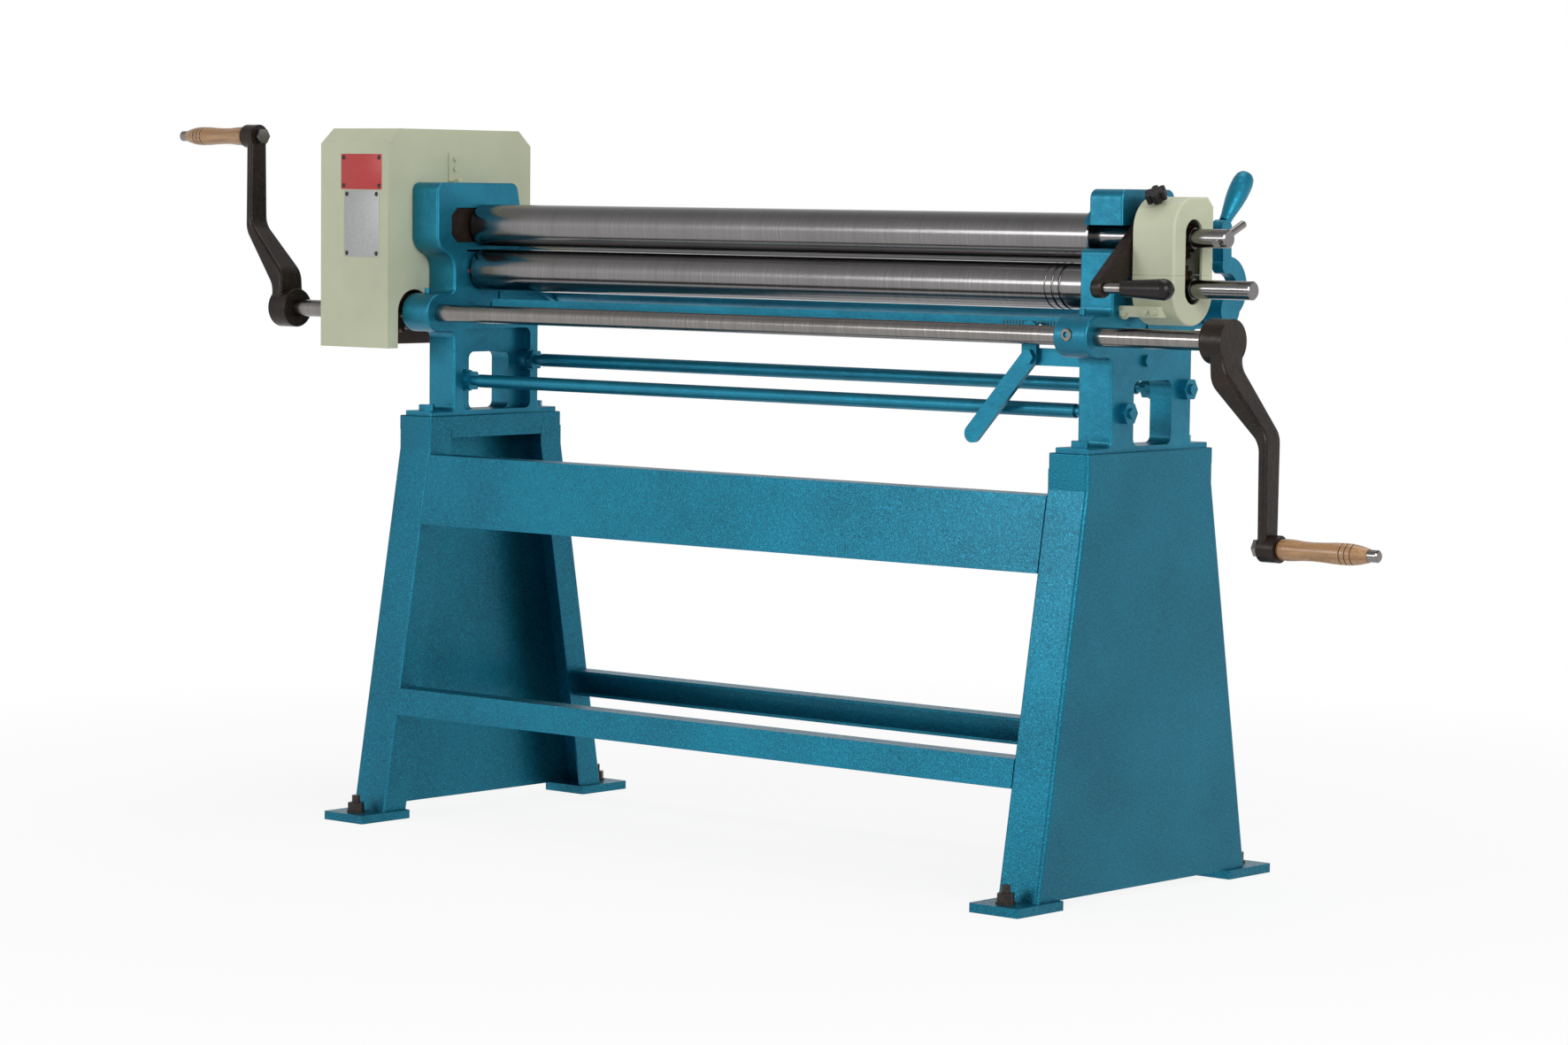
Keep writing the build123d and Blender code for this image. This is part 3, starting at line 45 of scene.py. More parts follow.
ALONG_X = (1, 0, 0)
TO_FRONT = (0, -1, 0)


def linear(r, g, b):
    """Linear colour for a shader socket, from sRGB values out of 255."""
    def one(c):
        c /= 255
        return c / 12.92 if c <= 0.04045 else ((c + 0.055) / 1.055) ** 2.4
    return (one(r), one(g), one(b), 1.0)


BLUE_LIGHT = linear(8, 102, 126)
BLUE_DEEP = linear(5, 74, 96)
BLUE_FLECK = linear(30, 158, 188)
CAST_LIGHT = linear(18, 128, 156)
CAST_DEEP = linear(10, 100, 126)
CREAM = linear(200, 204, 176)
CREAM_WORN = linear(184, 189, 163)
STEEL = linear(146, 144, 144)
STEEL_DARK = linear(112, 110, 110)
SHAFT = linear(150, 147, 144)
SHAFT_DARK = linear(116, 112, 110)
GREASE = linear(92, 66, 46)
GREASE_DARK = linear(48, 34, 26)
# Brown primer colours, made dark as painted shade for the inside of the gear cover
SHADED_PRIMER = linear(98, 66, 52)
SHADED_PRIMER_DARK = linear(62, 52, 46)
BLACK_PAINT = linear(28, 22, 19)
BLACK_WORN = linear(44, 33, 27)
BLACK_STEEL = linear(40, 37, 35)
BLACK_STEEL_WORN = linear(66, 58, 50)
PLASTIC = linear(24, 20, 20)
PLASTIC_LIGHT = linear(34, 29, 28)
WOOD_LIGHT = linear(190, 150, 106)
WOOD_DARK = linear(142, 100, 64)
WOOD_FLECK = linear(134, 84, 46)
PLATE_SILVER = linear(176, 179, 178)
PLATE_RED = linear(192, 54, 54)
RED_DOT = linear(196, 74, 60)
WHITE = (1.0, 1.0, 1.0, 1.0)


class Nodes:
    """The node tree of a material or world, with short calls for its nodes."""

    def __init__(self, owner):
        owner.use_nodes = True
        self.tree = owner.node_tree

    def add(self, kind, **settings):
        node = self.tree.nodes.new(kind)
        for key, value in settings.items():
            setattr(node, key, value)
        return node

    def link(self, source, target):
        self.tree.links.new(source, target)

    def put(self, value, socket):
        """Links a socket to an input, or sets the input to a plain value."""
        if isinstance(value, bpy.types.NodeSocket):
            self.link(value, socket)
        else:
            socket.default_value = value

    def maths(self, operation, a, b):
        node = self.add("ShaderNodeMath", operation=operation)
        self.put(a, node.inputs[0])
        self.put(b, node.inputs[1])
        return node.outputs["Value"]

    def spread(self, value, span, result):
        """Value moved from one span of numbers to another."""
        node = self.add("ShaderNodeMapRange")
        names = ("From Min", "From Max", "To Min", "To Max")
        for name, number in zip(names, (*span, *result)):
            node.inputs[name].default_value = number
        self.link(value, node.inputs["Value"])
        return node.outputs["Result"]

    def blend(self, share, first, second, target):
        """Mixes two shaders by a share into a target socket."""
        node = self.add("ShaderNodeMixShader")
        self.link(share, node.inputs["Fac"])
        self.link(first, node.inputs[1])
        self.link(second, node.inputs[2])
        self.link(node.outputs["Shader"], target)

    def shown_rays(self):
        """1 for rays of the camera and of mirror images, 0 for those that light."""
        rays = self.add("ShaderNodeLightPath").outputs
        return self.maths("MAXIMUM", rays["Is Camera Ray"], rays["Is Glossy Ray"])


class Surface(Nodes):
    """A new material on object coordinates, so a scale counts cells to a metre."""

    def __init__(self, name):
        self.material = bpy.data.materials.new(name)
        super().__init__(self.material)
        self.shader = self.tree.nodes["Principled BSDF"]
        self.place = self.add("ShaderNodeTexCoord").outputs["Object"]

    def scaled(self, x, y, z):
        """Object coordinates times three factors."""
        mapping = self.add("ShaderNodeMapping")
        mapping.inputs["Scale"].default_value = (x, y, z)
        self.link(self.place, mapping.inputs["Vector"])
        return mapping.outputs["Vector"]

    def noise(self, vector, scale, detail=3.0, roughness=0.55):
        node = self.add("ShaderNodeTexNoise")
        node.inputs["Scale"].default_value = scale
        node.inputs["Detail"].default_value = detail
        node.inputs["Roughness"].default_value = roughness
        self.link(vector, node.inputs["Vector"])
        return node.outputs["Fac"]

    def ramp(self, value, span, low_colour, high_colour):
        """Colour that goes from one to the other as a value crosses a span."""
        node = self.add("ShaderNodeValToRGB")
        ends = zip(node.color_ramp.elements, span, (low_colour, high_colour))
        for element, position, colour in ends:
            element.position = position
            element.color = colour
        self.link(value, node.inputs["Fac"])
        return node.outputs["Color"]

    def mix(self, share, a, b):
        """Colour a, or colour b where the share is 1."""
        node = self.add("ShaderNodeMix", data_type="RGBA")
        self.put(share, node.inputs["Factor"])
        self.put(a, node.inputs["A"])
        self.put(b, node.inputs["B"])
        return node.outputs["Result"]

    def bump(self, height, strength, distance, below=None):
        """Relief of a height, on top of the normal of the relief below."""
        node = self.add("ShaderNodeBump")
        node.inputs["Strength"].default_value = strength
        node.inputs["Distance"].default_value = distance
        self.link(height, node.inputs["Height"])
        if below is not None:
            self.link(below, node.inputs["Normal"])
        return node.outputs["Normal"]

    def within(self, low, high):
        """Mask that is 1 inside a box of object coordinates."""
        parts = self.add("ShaderNodeSeparateXYZ")
        self.link(self.place, parts.inputs["Vector"])
        mask = None
        for axis, bottom, top in zip("XYZ", low, high):
            for operation, limit in (("GREATER_THAN", bottom), ("LESS_THAN", top)):
                test = self.maths(operation, parts.outputs[axis], limit)
                mask = test if mask is None else self.maths("MULTIPLY", mask, test)
        return mask

    def finish(self, colour, roughness, normal=None, **values):
        """Feeds the shader; other sockets are named with _ for a space."""
        self.put(colour, self.shader.inputs["Base Color"])
        self.put(roughness, self.shader.inputs["Roughness"])
        if normal is not None:
            self.link(normal, self.shader.inputs["Normal"])
        for key, value in values.items():
            self.shader.inputs[key.replace("_", " ")].default_value = value
        return self.material


def hammered_enamel(name, light, deep):
    """Metallic hammer-finish enamel: fine bright flecks over a soft cellular relief."""
    m = Surface(name)
    flecks = m.noise(m.place, scale=620.0, detail=2.0, roughness=0.7)
    cells = m.noise(m.place, scale=240.0, detail=2.0, roughness=0.5)
    cloud = m.noise(m.place, scale=5.0)
    colour = m.mix(m.spread(cloud, (0.35, 0.65), (0.15, 0.75)), deep, light)
    colour = m.mix(m.spread(flecks, (0.46, 0.66), (0.0, 0.55)), colour, BLUE_FLECK)
    rough = m.spread(cells, (0.3, 0.7), (0.36, 0.5))
    normal = m.bump(cells, strength=0.3, distance=1.2 * MM)
    return m.finish(
        colour, rough, normal, Metallic=0.82, Coat_Weight=0.1, Coat_Roughness=0.2
    )


def cast_enamel(name, light, deep):
    """The same enamel over cast iron: coarser relief under the paint."""
    m = Surface(name)
    flecks = m.noise(m.place, scale=700.0, detail=2.0, roughness=0.7)
    cast = m.noise(m.place, scale=70.0, detail=4.0, roughness=0.6)
    cloud = m.noise(m.place, scale=9.0)
    colour = m.mix(m.spread(cloud, (0.35, 0.65), (0.1, 0.7)), deep, light)
    colour = m.mix(m.spread(flecks, (0.48, 0.68), (0.0, 0.38)), colour, BLUE_FLECK)
    rough = m.spread(cast, (0.3, 0.7), (0.36, 0.5))
    normal = m.bump(cast, strength=0.35, distance=2.2 * MM)
    normal = m.bump(flecks, strength=0.12, distance=0.6 * MM, below=normal)
    return m.finish(
        colour, rough, normal, Metallic=0.72, Coat_Weight=0.12, Coat_Roughness=0.2
    )


def satin_cream(name, inside=None):
    """Cream enamel, faint orange-peel relief, and inside a box brown primer darkened as
    painted shade.
    """
    m = Surface(name)
    cloud = m.noise(m.place, scale=7.0, detail=4.0)
    peel = m.noise(m.place, scale=320.0, detail=2.0)
    colour = m.mix(m.spread(cloud, (0.4, 0.7), (0.0, 0.6)), CREAM, CREAM_WORN)
    if inside:
        # Inside the box: brown primer, darkened as painted shade under the cover
        shaded_primer = m.ramp(m.noise(m.place, scale=30.0), (0.3, 0.7), SHADED_PRIMER_DARK, SHADED_PRIMER)
        colour = m.mix(m.within(*inside), colour, shaded_primer)
    rough = m.spread(cloud, (0.3, 0.7), (0.46, 0.56))
    return m.finish(colour, rough, m.bump(peel, strength=0.1, distance=0.6 * MM))


def turned_steel(name, light, dark, grain):
    """Steel turned and ground round the X axis: rings that differ only along X."""
    m = Surface(name)
    rings = m.noise(m.scaled(grain, 3.0, 3.0), scale=1.0, detail=6.0, roughness=0.75)
    bands = m.noise(m.scaled(16.0, 0.4, 0.4), scale=1.0)
    stain = m.noise(m.place, scale=14.0, detail=4.0)
    colour = m.mix(m.spread(rings, (0.3, 0.7), (0.0, 1.0)), dark, light)
    colour = m.mix(m.spread(bands, (0.35, 0.7), (0.0, 0.35)), colour, dark)
    colour = m.mix(m.spread(stain, (0.56, 0.8), (0.0, 0.3)), colour, STEEL_DARK)
    rough = m.spread(rings, (0.25, 0.75), (0.14, 0.24))
    normal = m.bump(rings, strength=0.05, distance=0.2 * MM)
    return m.finish(colour, rough, normal, Metallic=1.0, Anisotropic=0.3)


def greasy_gear(name):
    """Gear steel under brown grease."""
    m = Surface(name)
    lumps = m.noise(m.place, scale=90.0, detail=4.0)
    colour = m.ramp(lumps, (0.35, 0.65), GREASE_DARK, GREASE)
    rough = m.spread(lumps, (0.3, 0.7), (0.25, 0.6))
    normal = m.bump(lumps, strength=0.4, distance=2 * MM)
    return m.finish(colour, rough, normal, Metallic=0.45)


def black_paint(name):
    """Black paint over a rough casting, rubbed brown-grey in places."""
    m = Surface(name)
    cast = m.noise(m.place, scale=80.0, detail=5.0, roughness=0.6)
    wear = m.noise(m.place, scale=22.0, detail=4.0)
    colour = m.ramp(wear, (0.38, 0.72), BLACK_PAINT, BLACK_WORN)
    rough = m.spread(cast, (0.3, 0.7), (0.22, 0.4))
    normal = m.bump(cast, strength=0.45, distance=2.2 * MM)
    return m.finish(colour, rough, normal, Specular_IOR_Level=0.22)


def oiled_black(name):
    """Blackened steel of screws, nuts and washers."""
    m = Surface(name)
    spots = m.noise(m.place, scale=130.0)
    colour = m.ramp(spots, (0.4, 0.7), BLACK_STEEL, BLACK_STEEL_WORN)
    return m.finish(colour, m.spread(spots, (0.3, 0.7), (0.35, 0.6)), Metallic=0.5)


def moulded_black(name):
    """Gloss black moulded plastic."""
    m = Surface(name)
    fine = m.noise(m.place, scale=260.0, detail=2.0)
    colour = m.ramp(fine, (0.3, 0.8), PLASTIC, PLASTIC_LIGHT)
    rough = m.spread(fine, (0.3, 0.7), (0.2, 0.28))
    normal = m.bump(fine, strength=0.05, distance=0.4 * MM)
    return m.finish(colour, rough, normal, Specular_IOR_Level=0.25)


def varnished_wood(name):
    """Turned beech under clear varnish, its grain along X."""
    m = Surface(name)
    grain = m.noise(m.scaled(7.0, 150.0, 150.0), scale=1.0, detail=5.0, roughness=0.6)
    fleck = m.noise(m.scaled(40.0, 420.0, 420.0), scale=1.0, detail=2.0)
    colour = m.ramp(grain, (0.3, 0.7), WOOD_DARK, WOOD_LIGHT)
    colour = m.mix(m.spread(fleck, (0.55, 0.75), (0.0, 0.5)), colour, WOOD_FLECK)
    normal = m.bump(grain, strength=0.08, distance=0.5 * MM)
    return m.finish(colour, 0.42, normal, Coat_Weight=0.4, Coat_Roughness=0.14)


def plain_paint(name, colour, roughness, metallic, unevenness=0.14):
    """Small painted or printed surface that is a little darker in places."""
    m = Surface(name)
    fine = m.noise(m.place, scale=180.0)
    darker = tuple(c * (1 - unevenness) for c in colour[:3]) + (1.0,)
    uneven = m.ramp(fine, (0.3, 0.8), colour, darker)
    return m.finish(uneven, roughness, Metallic=metallic)


# Box of the brown primer inside the gear cover, darkened there as painted shade: within
# its sheet at the sides, out at its open bottom, and below the bevels of its top, which
# the box would cut
cover_low, cover_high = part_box("gear_cover")
COVER_SKIN = Vector((1.2, 1.2, 1.2)) * MM
OPEN_BOTTOM = Vector((0, 0, 100)) * MM
BEVELLED_TOP = Vector((0, 0, 40)) * MM
cover_shade_box = (
    cover_low + COVER_SKIN - OPEN_BOTTOM,
    cover_high - COVER_SKIN - BEVELLED_TOP,
)

sheet_blue = hammered_enamel("hammered_blue", BLUE_LIGHT, BLUE_DEEP)
cast_blue = cast_enamel("cast_blue", CAST_LIGHT, CAST_DEEP)
cream = satin_cream("cream_enamel")
# The gear cover's enamel, with brown primer darkened as painted shade over its inside
cover_cream_shaded_inside = satin_cream("cover_enamel_shaded_inside", cover_shade_box)
roll_steel = turned_steel("roll_steel", STEEL, STEEL_DARK, grain=900.0)
shaft_steel = turned_steel("shaft_steel", SHAFT, SHAFT_DARK, grain=500.0)
gear_steel = greasy_gear("gear_grease")
black_cast = black_paint("black_casting")
black_steel = oiled_black("black_fasteners")
black_plastic = moulded_black("black_plastic")
wood = varnished_wood("varnished_wood")
silver_plate = plain_paint("plate_silver", PLATE_SILVER, roughness=0.5, metallic=0.3)
red_plate = plain_paint("plate_red", PLATE_RED, roughness=0.4, metallic=0.0)
red_paint = plain_paint("red_paint", RED_DOT, roughness=0.4, metallic=0.0)

# CAD nodes by their finish
DRESS = {
    sheet_blue: """
        foot_plates right_front_leg right_rear_leg left_front_leg left_rear_leg
        right_side_panel left_side_panel right_stand_cap left_stand_cap
        front_beam front_rail rear_rail""",
    cast_blue: """
        right_housing left_housing front_tie_rod rear_tie_rod tie_rod_nuts
        housing_bolts housing_nuts stop_bolt lower_bearing_blocks wedge_bar
        pinch_lever lever_bracket pivot_bolt rear_lever rear_handle swing_arms
        oil_cups""",
    cream: """
        upper_guard lower_guard guard_bracket cover_bracket cover_screws
        guard_screws""",
    cover_cream_shaded_inside: "gear_cover",
    roll_steel: "top_roll lower_roll rear_roll",
    shaft_steel: """
        crank_shaft swing_shaft top_shaft_pin lock_rod left_grip_spindle
        right_grip_spindle""",
    gear_steel: "drive_gear crank_pinion top_pair_gear lower_pair_gear",
    black_cast: "left_crank right_crank lock_arm swivel_block",
    black_steel: "anchor_studs anchor_washers anchor_nuts",
    black_plastic: "lock_grip guard_knob",
    wood: "left_grip right_grip",
}
for material, names in DRESS.items():
    for name in names.split():
        for slot in nodes[name].material_slots:
            slot.link = "OBJECT"
            slot.material = material


# Pieces that the solids leave to the scene
SHARP_ANGLE = math.radians(32)


def mesh_piece(name, mesh, material, body):
    """Makes a finished bmesh a piece that rides on a body."""
    data = bpy.data.meshes.new(name)
    mesh.to_mesh(data)
    mesh.free()
    data.materials.append(material)
    data.shade_smooth()
    data.set_sharp_from_angle(angle=SHARP_ANGLE)
    obj = bpy.data.objects.new(name, data)
    scene.collection.objects.link(obj)
    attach(obj, body)
    return obj


def add_bevelled_box(mesh, low, high, bevel):
    """Box between two corners with all its edges rounded."""
    low, high = Vector(low), Vector(high)
    made = bmesh.ops.create_cube(mesh, size=1.0)["verts"]
    bmesh.ops.scale(mesh, vec=high - low, verts=made)
    bmesh.ops.translate(mesh, vec=(low + high) / 2, verts=made)
    edges = list({edge for vert in made for edge in vert.link_edges})
    bmesh.ops.bevel(
        mesh,
        geom=edges,
        offset=bevel,
        segments=2,
        affect="EDGES",
        profile=0.5,
        clamp_overlap=True,
    )


def add_turned(mesh, profile, centre, axis, steps):
    """Turned form: (distance along the axis, radius) pairs swept round the axis."""
    axis = Vector(axis).normalized()
    side = axis.orthogonal().normalized()
    other = axis.cross(side)
    rings = []
    for along, radius in profile:
        ring = []
        for i in range(steps):
            angle = 2 * math.pi * i / steps
            out = side * math.cos(angle) + other * math.sin(angle)
            ring.append(mesh.verts.new(Vector(centre) + axis * along + out * radius))
        rings.append(ring)
    for a, b in zip(rings, rings[1:]):
        for i in range(steps):
            j = (i + 1) % steps
            mesh.faces.new((a[i], a[j], b[j], b[i]))
    mesh.faces.new(list(reversed(rings[0])))
    mesh.faces.new(rings[-1])


# Blank plates with rivets on the front of the gear cover. Each row holds the plate's
# distance from the cover's left and right side, then the heights of its top and bottom
PLATES = (
    ("plate_upper", red_plate, 50 * MM, 15 * MM, 1106 * MM, 1047 * MM),
    ("plate_lower", silver_plate, 58 * MM, 21 * MM, 1045 * MM, 934 * MM),
)
PLATE_THICKNESS = 0.8 * MM
PLATE_BEVEL = 0.3 * MM
RIVET_INSET = 6 * MM
RIVET_RADIUS = 4 * MM
RIVET_DOME = (
    (0, RIVET_RADIUS),
    (0.9 * MM, RIVET_RADIUS * 0.8),
    (1.5 * MM, RIVET_RADIUS * 0.3),
)
plate_front = cover_low.y - PLATE_THICKNESS
rivets = bmesh.new()
for plate_name, plate_material, left, right, top, bottom in PLATES:
    x0, x1 = cover_low.x + left, cover_high.x - right
    plate = bmesh.new()
    corners = (x0, plate_front, bottom), (x1, cover_low.y + PLATE_THICKNESS, top)
    add_bevelled_box(plate, *corners, PLATE_BEVEL)
    mesh_piece(plate_name, plate, plate_material, "frame")
    for x in (x0 + RIVET_INSET, x1 - RIVET_INSET):
        for z in (bottom + RIVET_INSET, top - RIVET_INSET):
            add_turned(rivets, RIVET_DOME, (x, plate_front, z), TO_FRONT, steps=16)
mesh_piece("plate_rivets", rivets, black_steel, "frame")

# Lower roll with three wiring grooves near its right end, each wider than the last
ROLL_Y, LOWER_ROLL_Z = -27 * MM, 914 * MM
ROLL_RADIUS, ROLL_EDGE = 35 * MM, 2 * MM
ROLL_LEFT, ROLL_RIGHT = -656 * MM, 644 * MM
JOURNAL_RADIUS, SEAT_RADIUS, END_RADIUS = 17.5 * MM, 15 * MM, 14 * MM
JOURNAL_END, SHOULDER = 721.5 * MM, 818 * MM
GROOVES = ((566 * MM, 1.9 * MM), (580 * MM, 2.5 * MM), (594 * MM, 3.1 * MM))
GROOVE_STEPS = 8
roll_low, roll_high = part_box("lower_roll")
profile = [
    (roll_low.x, JOURNAL_RADIUS),
    (ROLL_LEFT, JOURNAL_RADIUS),
    (ROLL_LEFT, ROLL_RADIUS - ROLL_EDGE),
    (ROLL_LEFT + ROLL_EDGE, ROLL_RADIUS),
]
for groove_x, half in GROOVES:
    for i in range(GROOVE_STEPS + 1):
        angle = math.pi * i / GROOVE_STEPS
        x, depth = groove_x - half * math.cos(angle), half * math.sin(angle)
        profile.append((x, ROLL_RADIUS - depth))
profile += [
    (ROLL_RIGHT - ROLL_EDGE, ROLL_RADIUS),
    (ROLL_RIGHT, ROLL_RADIUS - ROLL_EDGE),
    (ROLL_RIGHT, JOURNAL_RADIUS),
    (JOURNAL_END, JOURNAL_RADIUS),
    (JOURNAL_END, SEAT_RADIUS),
    (SHOULDER, SEAT_RADIUS),
    (SHOULDER, END_RADIUS),
    (roll_high.x - ROLL_EDGE, END_RADIUS),
    (roll_high.x, END_RADIUS - ROLL_EDGE),
]
roll = bmesh.new()
add_turned(roll, profile, (0, ROLL_Y, LOWER_ROLL_Z), ALONG_X, steps=96)
grooved_roll = mesh_piece(
    "grooved_lower_roll", roll, roll_steel, "lower_roll_set"
)
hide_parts("lower_roll")

# Scale on the front of the wedge bar: black ticks, every fifth one long
TICK_COUNT, TICKS_TO_A_LONG_ONE = 17, 5
TICK_START, TICK_STEP = 500 * MM, 6 * MM
LONG_TICK, SHORT_TICK = 9 * MM, 6 * MM
TICK_HALF_WIDTH, TICK_RELIEF, TICK_BEVEL = 0.9 * MM, 0.3 * MM, 0.15 * MM
TICKS_BELOW_BAR_TOP = 5 * MM
bar_low, bar_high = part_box("wedge_bar")
tick_top = bar_high.z - TICKS_BELOW_BAR_TOP
ticks = bmesh.new()
for i in range(TICK_COUNT):
    x = TICK_START + i * TICK_STEP
    tick_length = SHORT_TICK if i % TICKS_TO_A_LONG_ONE else LONG_TICK
    add_bevelled_box(
        ticks,
        (x - TICK_HALF_WIDTH, bar_low.y - TICK_RELIEF, tick_top - tick_length),
        (x + TICK_HALF_WIDTH, bar_low.y + TICK_RELIEF, tick_top),
        TICK_BEVEL,
    )
mesh_piece("wedge_bar_scale", ticks, black_steel, "wedge_slide")

# Socket screw in the front of the right crank lug, a little above its middle
CRANK_Y, CRANK_Z = -128 * MM, 842.43 * MM
LUG_RADIUS, LUG_MIDDLE_X = 32 * MM, 684 * MM
SCREW_RISE = 3 * MM
SCREW_PLACE = (LUG_MIDDLE_X, CRANK_Y - LUG_RADIUS, CRANK_Z + SCREW_RISE)
SCREW_RIM = (
    (-2 * MM, 9.5 * MM),
    (1.6 * MM, 9.5 * MM),
    (2.6 * MM, 8.2 * MM),
    (2.6 * MM, 4.6 * MM),
    (-1.2 * MM, 4.2 * MM),
)
# Black disc at the bottom of the screw's socket: painted shade in the hole
SCREW_SOCKET_SHADE = ((-1.5 * MM, 4.1 * MM), (-0.8 * MM, 3.6 * MM))
screw = bmesh.new()
add_turned(screw, SCREW_RIM, SCREW_PLACE, TO_FRONT, steps=24)
mesh_piece("lug_set_screw", screw, shaft_steel, "frame")
# The socket's black disc is painted shade
socket = bmesh.new()
add_turned(socket, SCREW_SOCKET_SHADE, SCREW_PLACE, TO_FRONT, steps=6)
mesh_piece("lug_screw_socket_shade", socket, black_steel, "frame")

# Painted tube round the shaft that joins the rear roll's arms, just short of them
SWING_Y, SWING_Z = 145 * MM, 880 * MM
TUBE_RADIUS, TUBE_EDGE = 22 * MM, 2 * MM
ARM_PLATE, TUBE_GAP = 16 * MM, 1 * MM
tube_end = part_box("swing_arms")[1].x - ARM_PLATE - TUBE_GAP
outline = (
    (-tube_end, TUBE_RADIUS - TUBE_EDGE),
    (-tube_end + TUBE_EDGE, TUBE_RADIUS),
    (tube_end - TUBE_EDGE, TUBE_RADIUS),
    (tube_end, TUBE_RADIUS - TUBE_EDGE),
)
tube = bmesh.new()
add_turned(tube, outline, (0, SWING_Y, SWING_Z), ALONG_X, steps=48)
mesh_piece("swing_shaft_tube", tube, cast_blue, "rear_carriage")

# Dark rings in the three grooves of each wooden grip. A groove is given by its share
# of the grip's length, from the crank, and its share of GRIP_RADIUS
GRIPS = ((1, "right_grip", "right_hand_grip"), (-1, "left_grip", "left_hand_grip"))
GRIP_RADIUS = 16 * MM
GRIP_GROOVES = ((0.715, 0.93), (0.775, 0.92), (0.835, 0.89))
RING_FOOT, RING_CREST = 0.9 * MM, 0.7 * MM
RING_DEPTH, RING_HEIGHT = 0.3 * MM, 0.35 * MM
for side, grip, body in GRIPS:
    grip_low, grip_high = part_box(grip)
    start_x = grip_low.x if side > 0 else grip_high.x
    reach = side * (grip_high.x - grip_low.x)
    middle = ((grip_low.y + grip_high.y) / 2, (grip_low.z + grip_high.z) / 2)
    rings = bmesh.new()
    for along, share in GRIP_GROOVES:
        radius = share * GRIP_RADIUS
        band = (
            (-RING_FOOT, radius - RING_DEPTH),
            (-RING_CREST, radius + RING_HEIGHT),
            (RING_CREST, radius + RING_HEIGHT),
            (RING_FOOT, radius - RING_DEPTH),
        )
        place = (start_x + along * reach, *middle)
        add_turned(rings, band, place, ALONG_X, steps=40)
    mesh_piece(f"{grip}_rings", rings, black_steel, body)

# Paint mark on the left lower bearing block
MARK_PLACE = (-659.5 * MM, -58 * MM, 912 * MM)
MARK_FORM = ((0, 3.5 * MM), (0.5 * MM, 3 * MM))
dot = bmesh.new()
add_turned(dot, MARK_FORM, MARK_PLACE, ALONG_X, steps=16)
mesh_piece("oil_hole_mark", dot, red_paint, "lower_carriage")

# Camera, fitted to the photograph: place and axes in metres in the object's frame,
# focal length and shift of the centre in the photograph's pixels
PHOTO_WIDTH = 1772
FOCAL_PIXELS = 5067.55
CENTRE_SHIFT = (31.53, 65.41)
SENSOR_WIDTH = 36.0
CAMERA_PLACE = Vector((4.7114, -5.4166, 1.0493))
CAMERA_RIGHT = Vector((0.75782779, 0.65235865, 0.01119105))
CAMERA_UP = Vector((-0.06461753, 0.0579745, 0.99622464))
CAMERA_BACK = Vector((0.64924696, -0.75568985, 0.0860885))
camera_data = bpy.data.cameras.new("camera")
camera_data.sensor_width = SENSOR_WIDTH
camera_data.lens = FOCAL_PIXELS * SENSOR_WIDTH / PHOTO_WIDTH
camera_data.shift_x = -CENTRE_SHIFT[0] / PHOTO_WIDTH
camera_data.shift_y = CENTRE_SHIFT[1] / PHOTO_WIDTH
camera_data.clip_start, camera_data.clip_end = 0.1, 60.0
camera = bpy.data.objects.new("camera", camera_data)
scene.collection.objects.link(camera)
bpy.context.scene.camera = camera
turn = Matrix((CAMERA_RIGHT, CAMERA_UP, CAMERA_BACK)).transposed().to_4x4()
camera.matrix_world = Matrix.Translation(CAMERA_PLACE) @ turn

# Floor: pale and matt with the object's shadow near its middle, white further out.
# The shares say how much of it is plain white at two distances from the middle
FLOOR_HALF, FLOOR_Z = 14.0, -0.5 * MM
FLOOR_GREY = (0.86, 0.86, 0.86, 1.0)
FADE_DISTANCES = (1.0, 2.6)
FADE_SHARES = (0.88, 1.0)
floor_mesh = bpy.data.meshes.new("floor")
corners = [
    (x * FLOOR_HALF, y * FLOOR_HALF, FLOOR_Z)
    for x, y in ((-1, -1), (1, -1), (1, 1), (-1, 1))
]
floor_mesh.from_pydata(corners, [], [(0, 1, 2, 3)])
floor = bpy.data.objects.new("floor", floor_mesh)
scene.collection.objects.link(floor)
f = Surface("floor")
f.shader.inputs["Base Color"].default_value = FLOOR_GREY
f.shader.inputs["Roughness"].default_value = 0.9
f.shader.inputs["Specular IOR Level"].default_value = 0.1
glow = f.add("ShaderNodeEmission")
glow.inputs["Color"].default_value = WHITE
glow.inputs["Strength"].default_value = 1.0
distance = f.add("ShaderNodeVectorMath", operation="LENGTH")
f.link(f.place, distance.inputs[0])
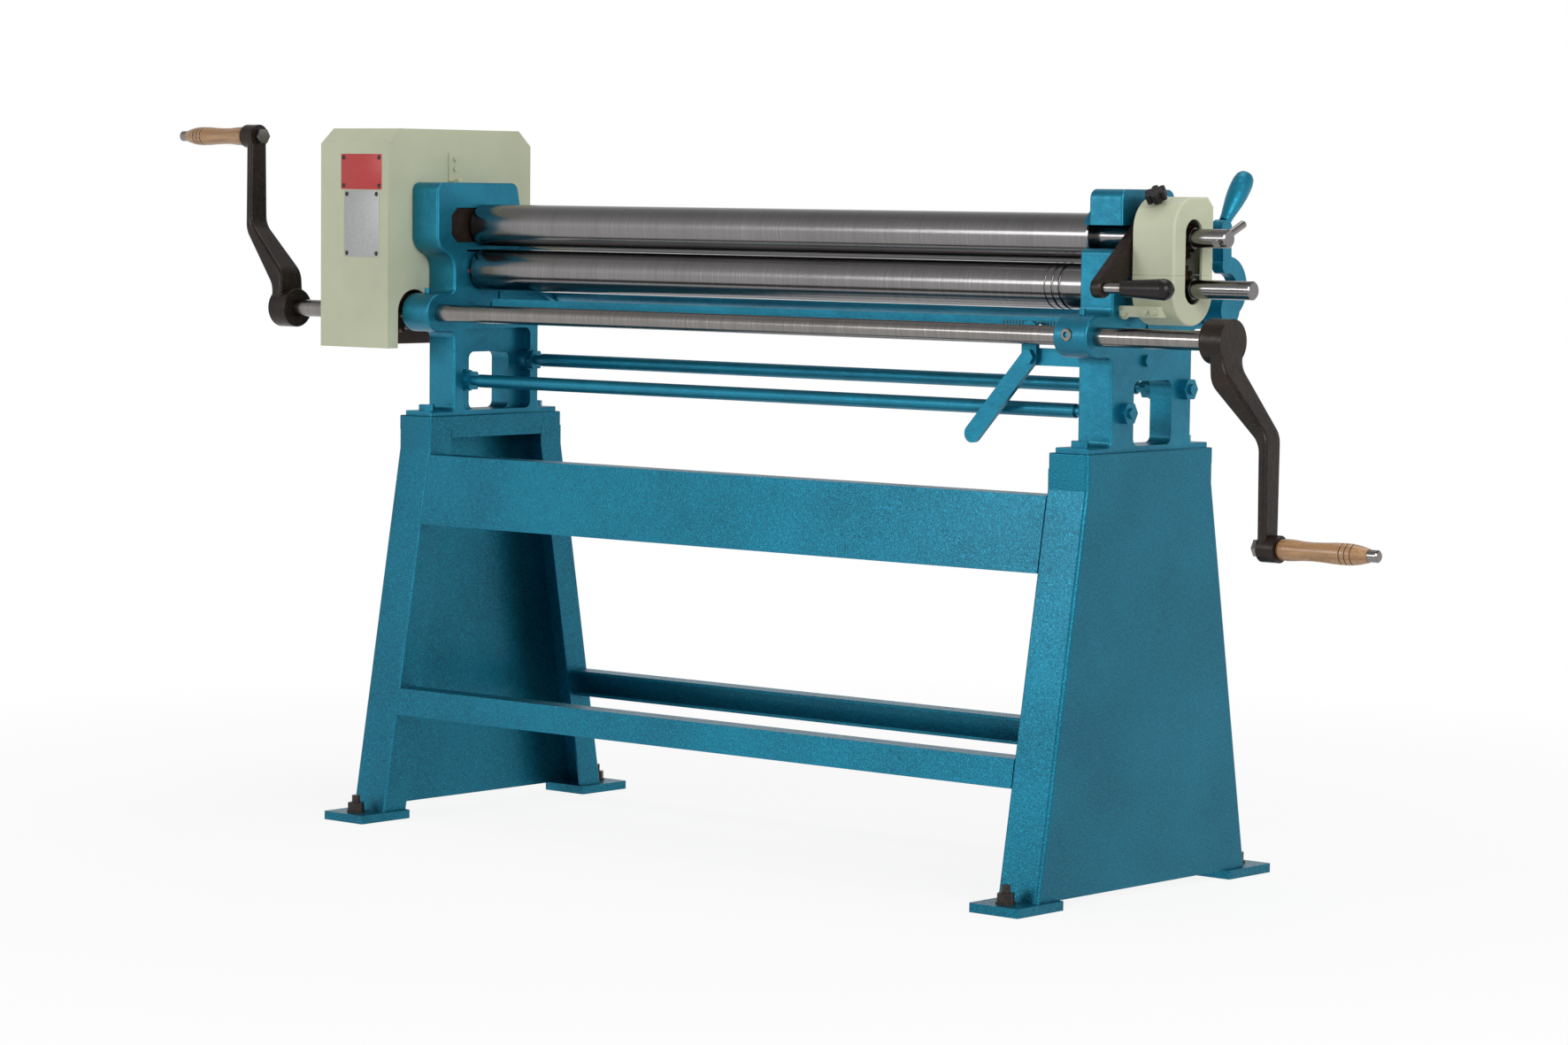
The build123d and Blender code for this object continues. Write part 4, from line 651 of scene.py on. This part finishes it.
fade = f.spread(distance.outputs["Value"], FADE_DISTANCES, FADE_SHARES)
f.blend(
    f.maths("MULTIPLY", fade, f.shown_rays()),
    f.shader.outputs["BSDF"],
    glow.outputs["Emission"],
    f.tree.nodes["Material Output"].inputs["Surface"],
)
floor_mesh.materials.append(f.material)

# World: where the camera or a mirror image shows it, white up to the horizon and
# greyer with a ray's rise towards the ceiling; as a light, dim all over
WORLD_LIGHT = 0.3
RISING_RAYS = (0.12, 0.8)
FROM_WHITE_TO_GREY = (1.0, 0.35)
world = bpy.data.worlds.new("world")
scene.world = world
w = Nodes(world)
dim = w.tree.nodes["Background"]
dim.inputs["Color"].default_value = WHITE
dim.inputs["Strength"].default_value = WORLD_LIGHT
bright = w.add("ShaderNodeBackground")
bright.inputs["Color"].default_value = WHITE
direction = w.add("ShaderNodeSeparateXYZ")
w.link(w.add("ShaderNodeTexCoord").outputs["Generated"], direction.inputs["Vector"])
strength = w.spread(direction.outputs["Z"], RISING_RAYS, FROM_WHITE_TO_GREY)
w.link(strength, bright.inputs["Strength"])
w.blend(
    w.shown_rays(),
    dim.outputs["Background"],
    bright.outputs["Background"],
    w.tree.nodes["World Output"].inputs["Surface"],
)


def area_light(name, place, aim, size, power):
    """Soft box at one place, aimed at another."""
    data = bpy.data.lights.new(name, "AREA")
    data.shape = "RECTANGLE"
    data.size, data.size_y = size
    data.energy = power
    lamp = bpy.data.objects.new(name, data)
    lamp.location = place
    lamp.rotation_mode = "QUATERNION"
    lamp.rotation_quaternion = (Vector(aim) - Vector(place)).to_track_quat("-Z", "Y")
    scene.collection.objects.link(lamp)


# The key lamp stands low in front, where the blue fronts mirror it to the camera
area_light("key", (-1.95, -4.8, 1.9), aim=(0.3, 0, 0.6), size=(2.2, 1.1), power=57)
area_light("fill", (4.6, -2.2, 2.4), aim=(0, 0, 0.7), size=(2.4, 2.4), power=118)
area_light("top", (0.4, 0.6, 4.6), aim=(0, 0, 0.5), size=(3.6, 2.2), power=55)

scene.view_settings.view_transform = "Standard"
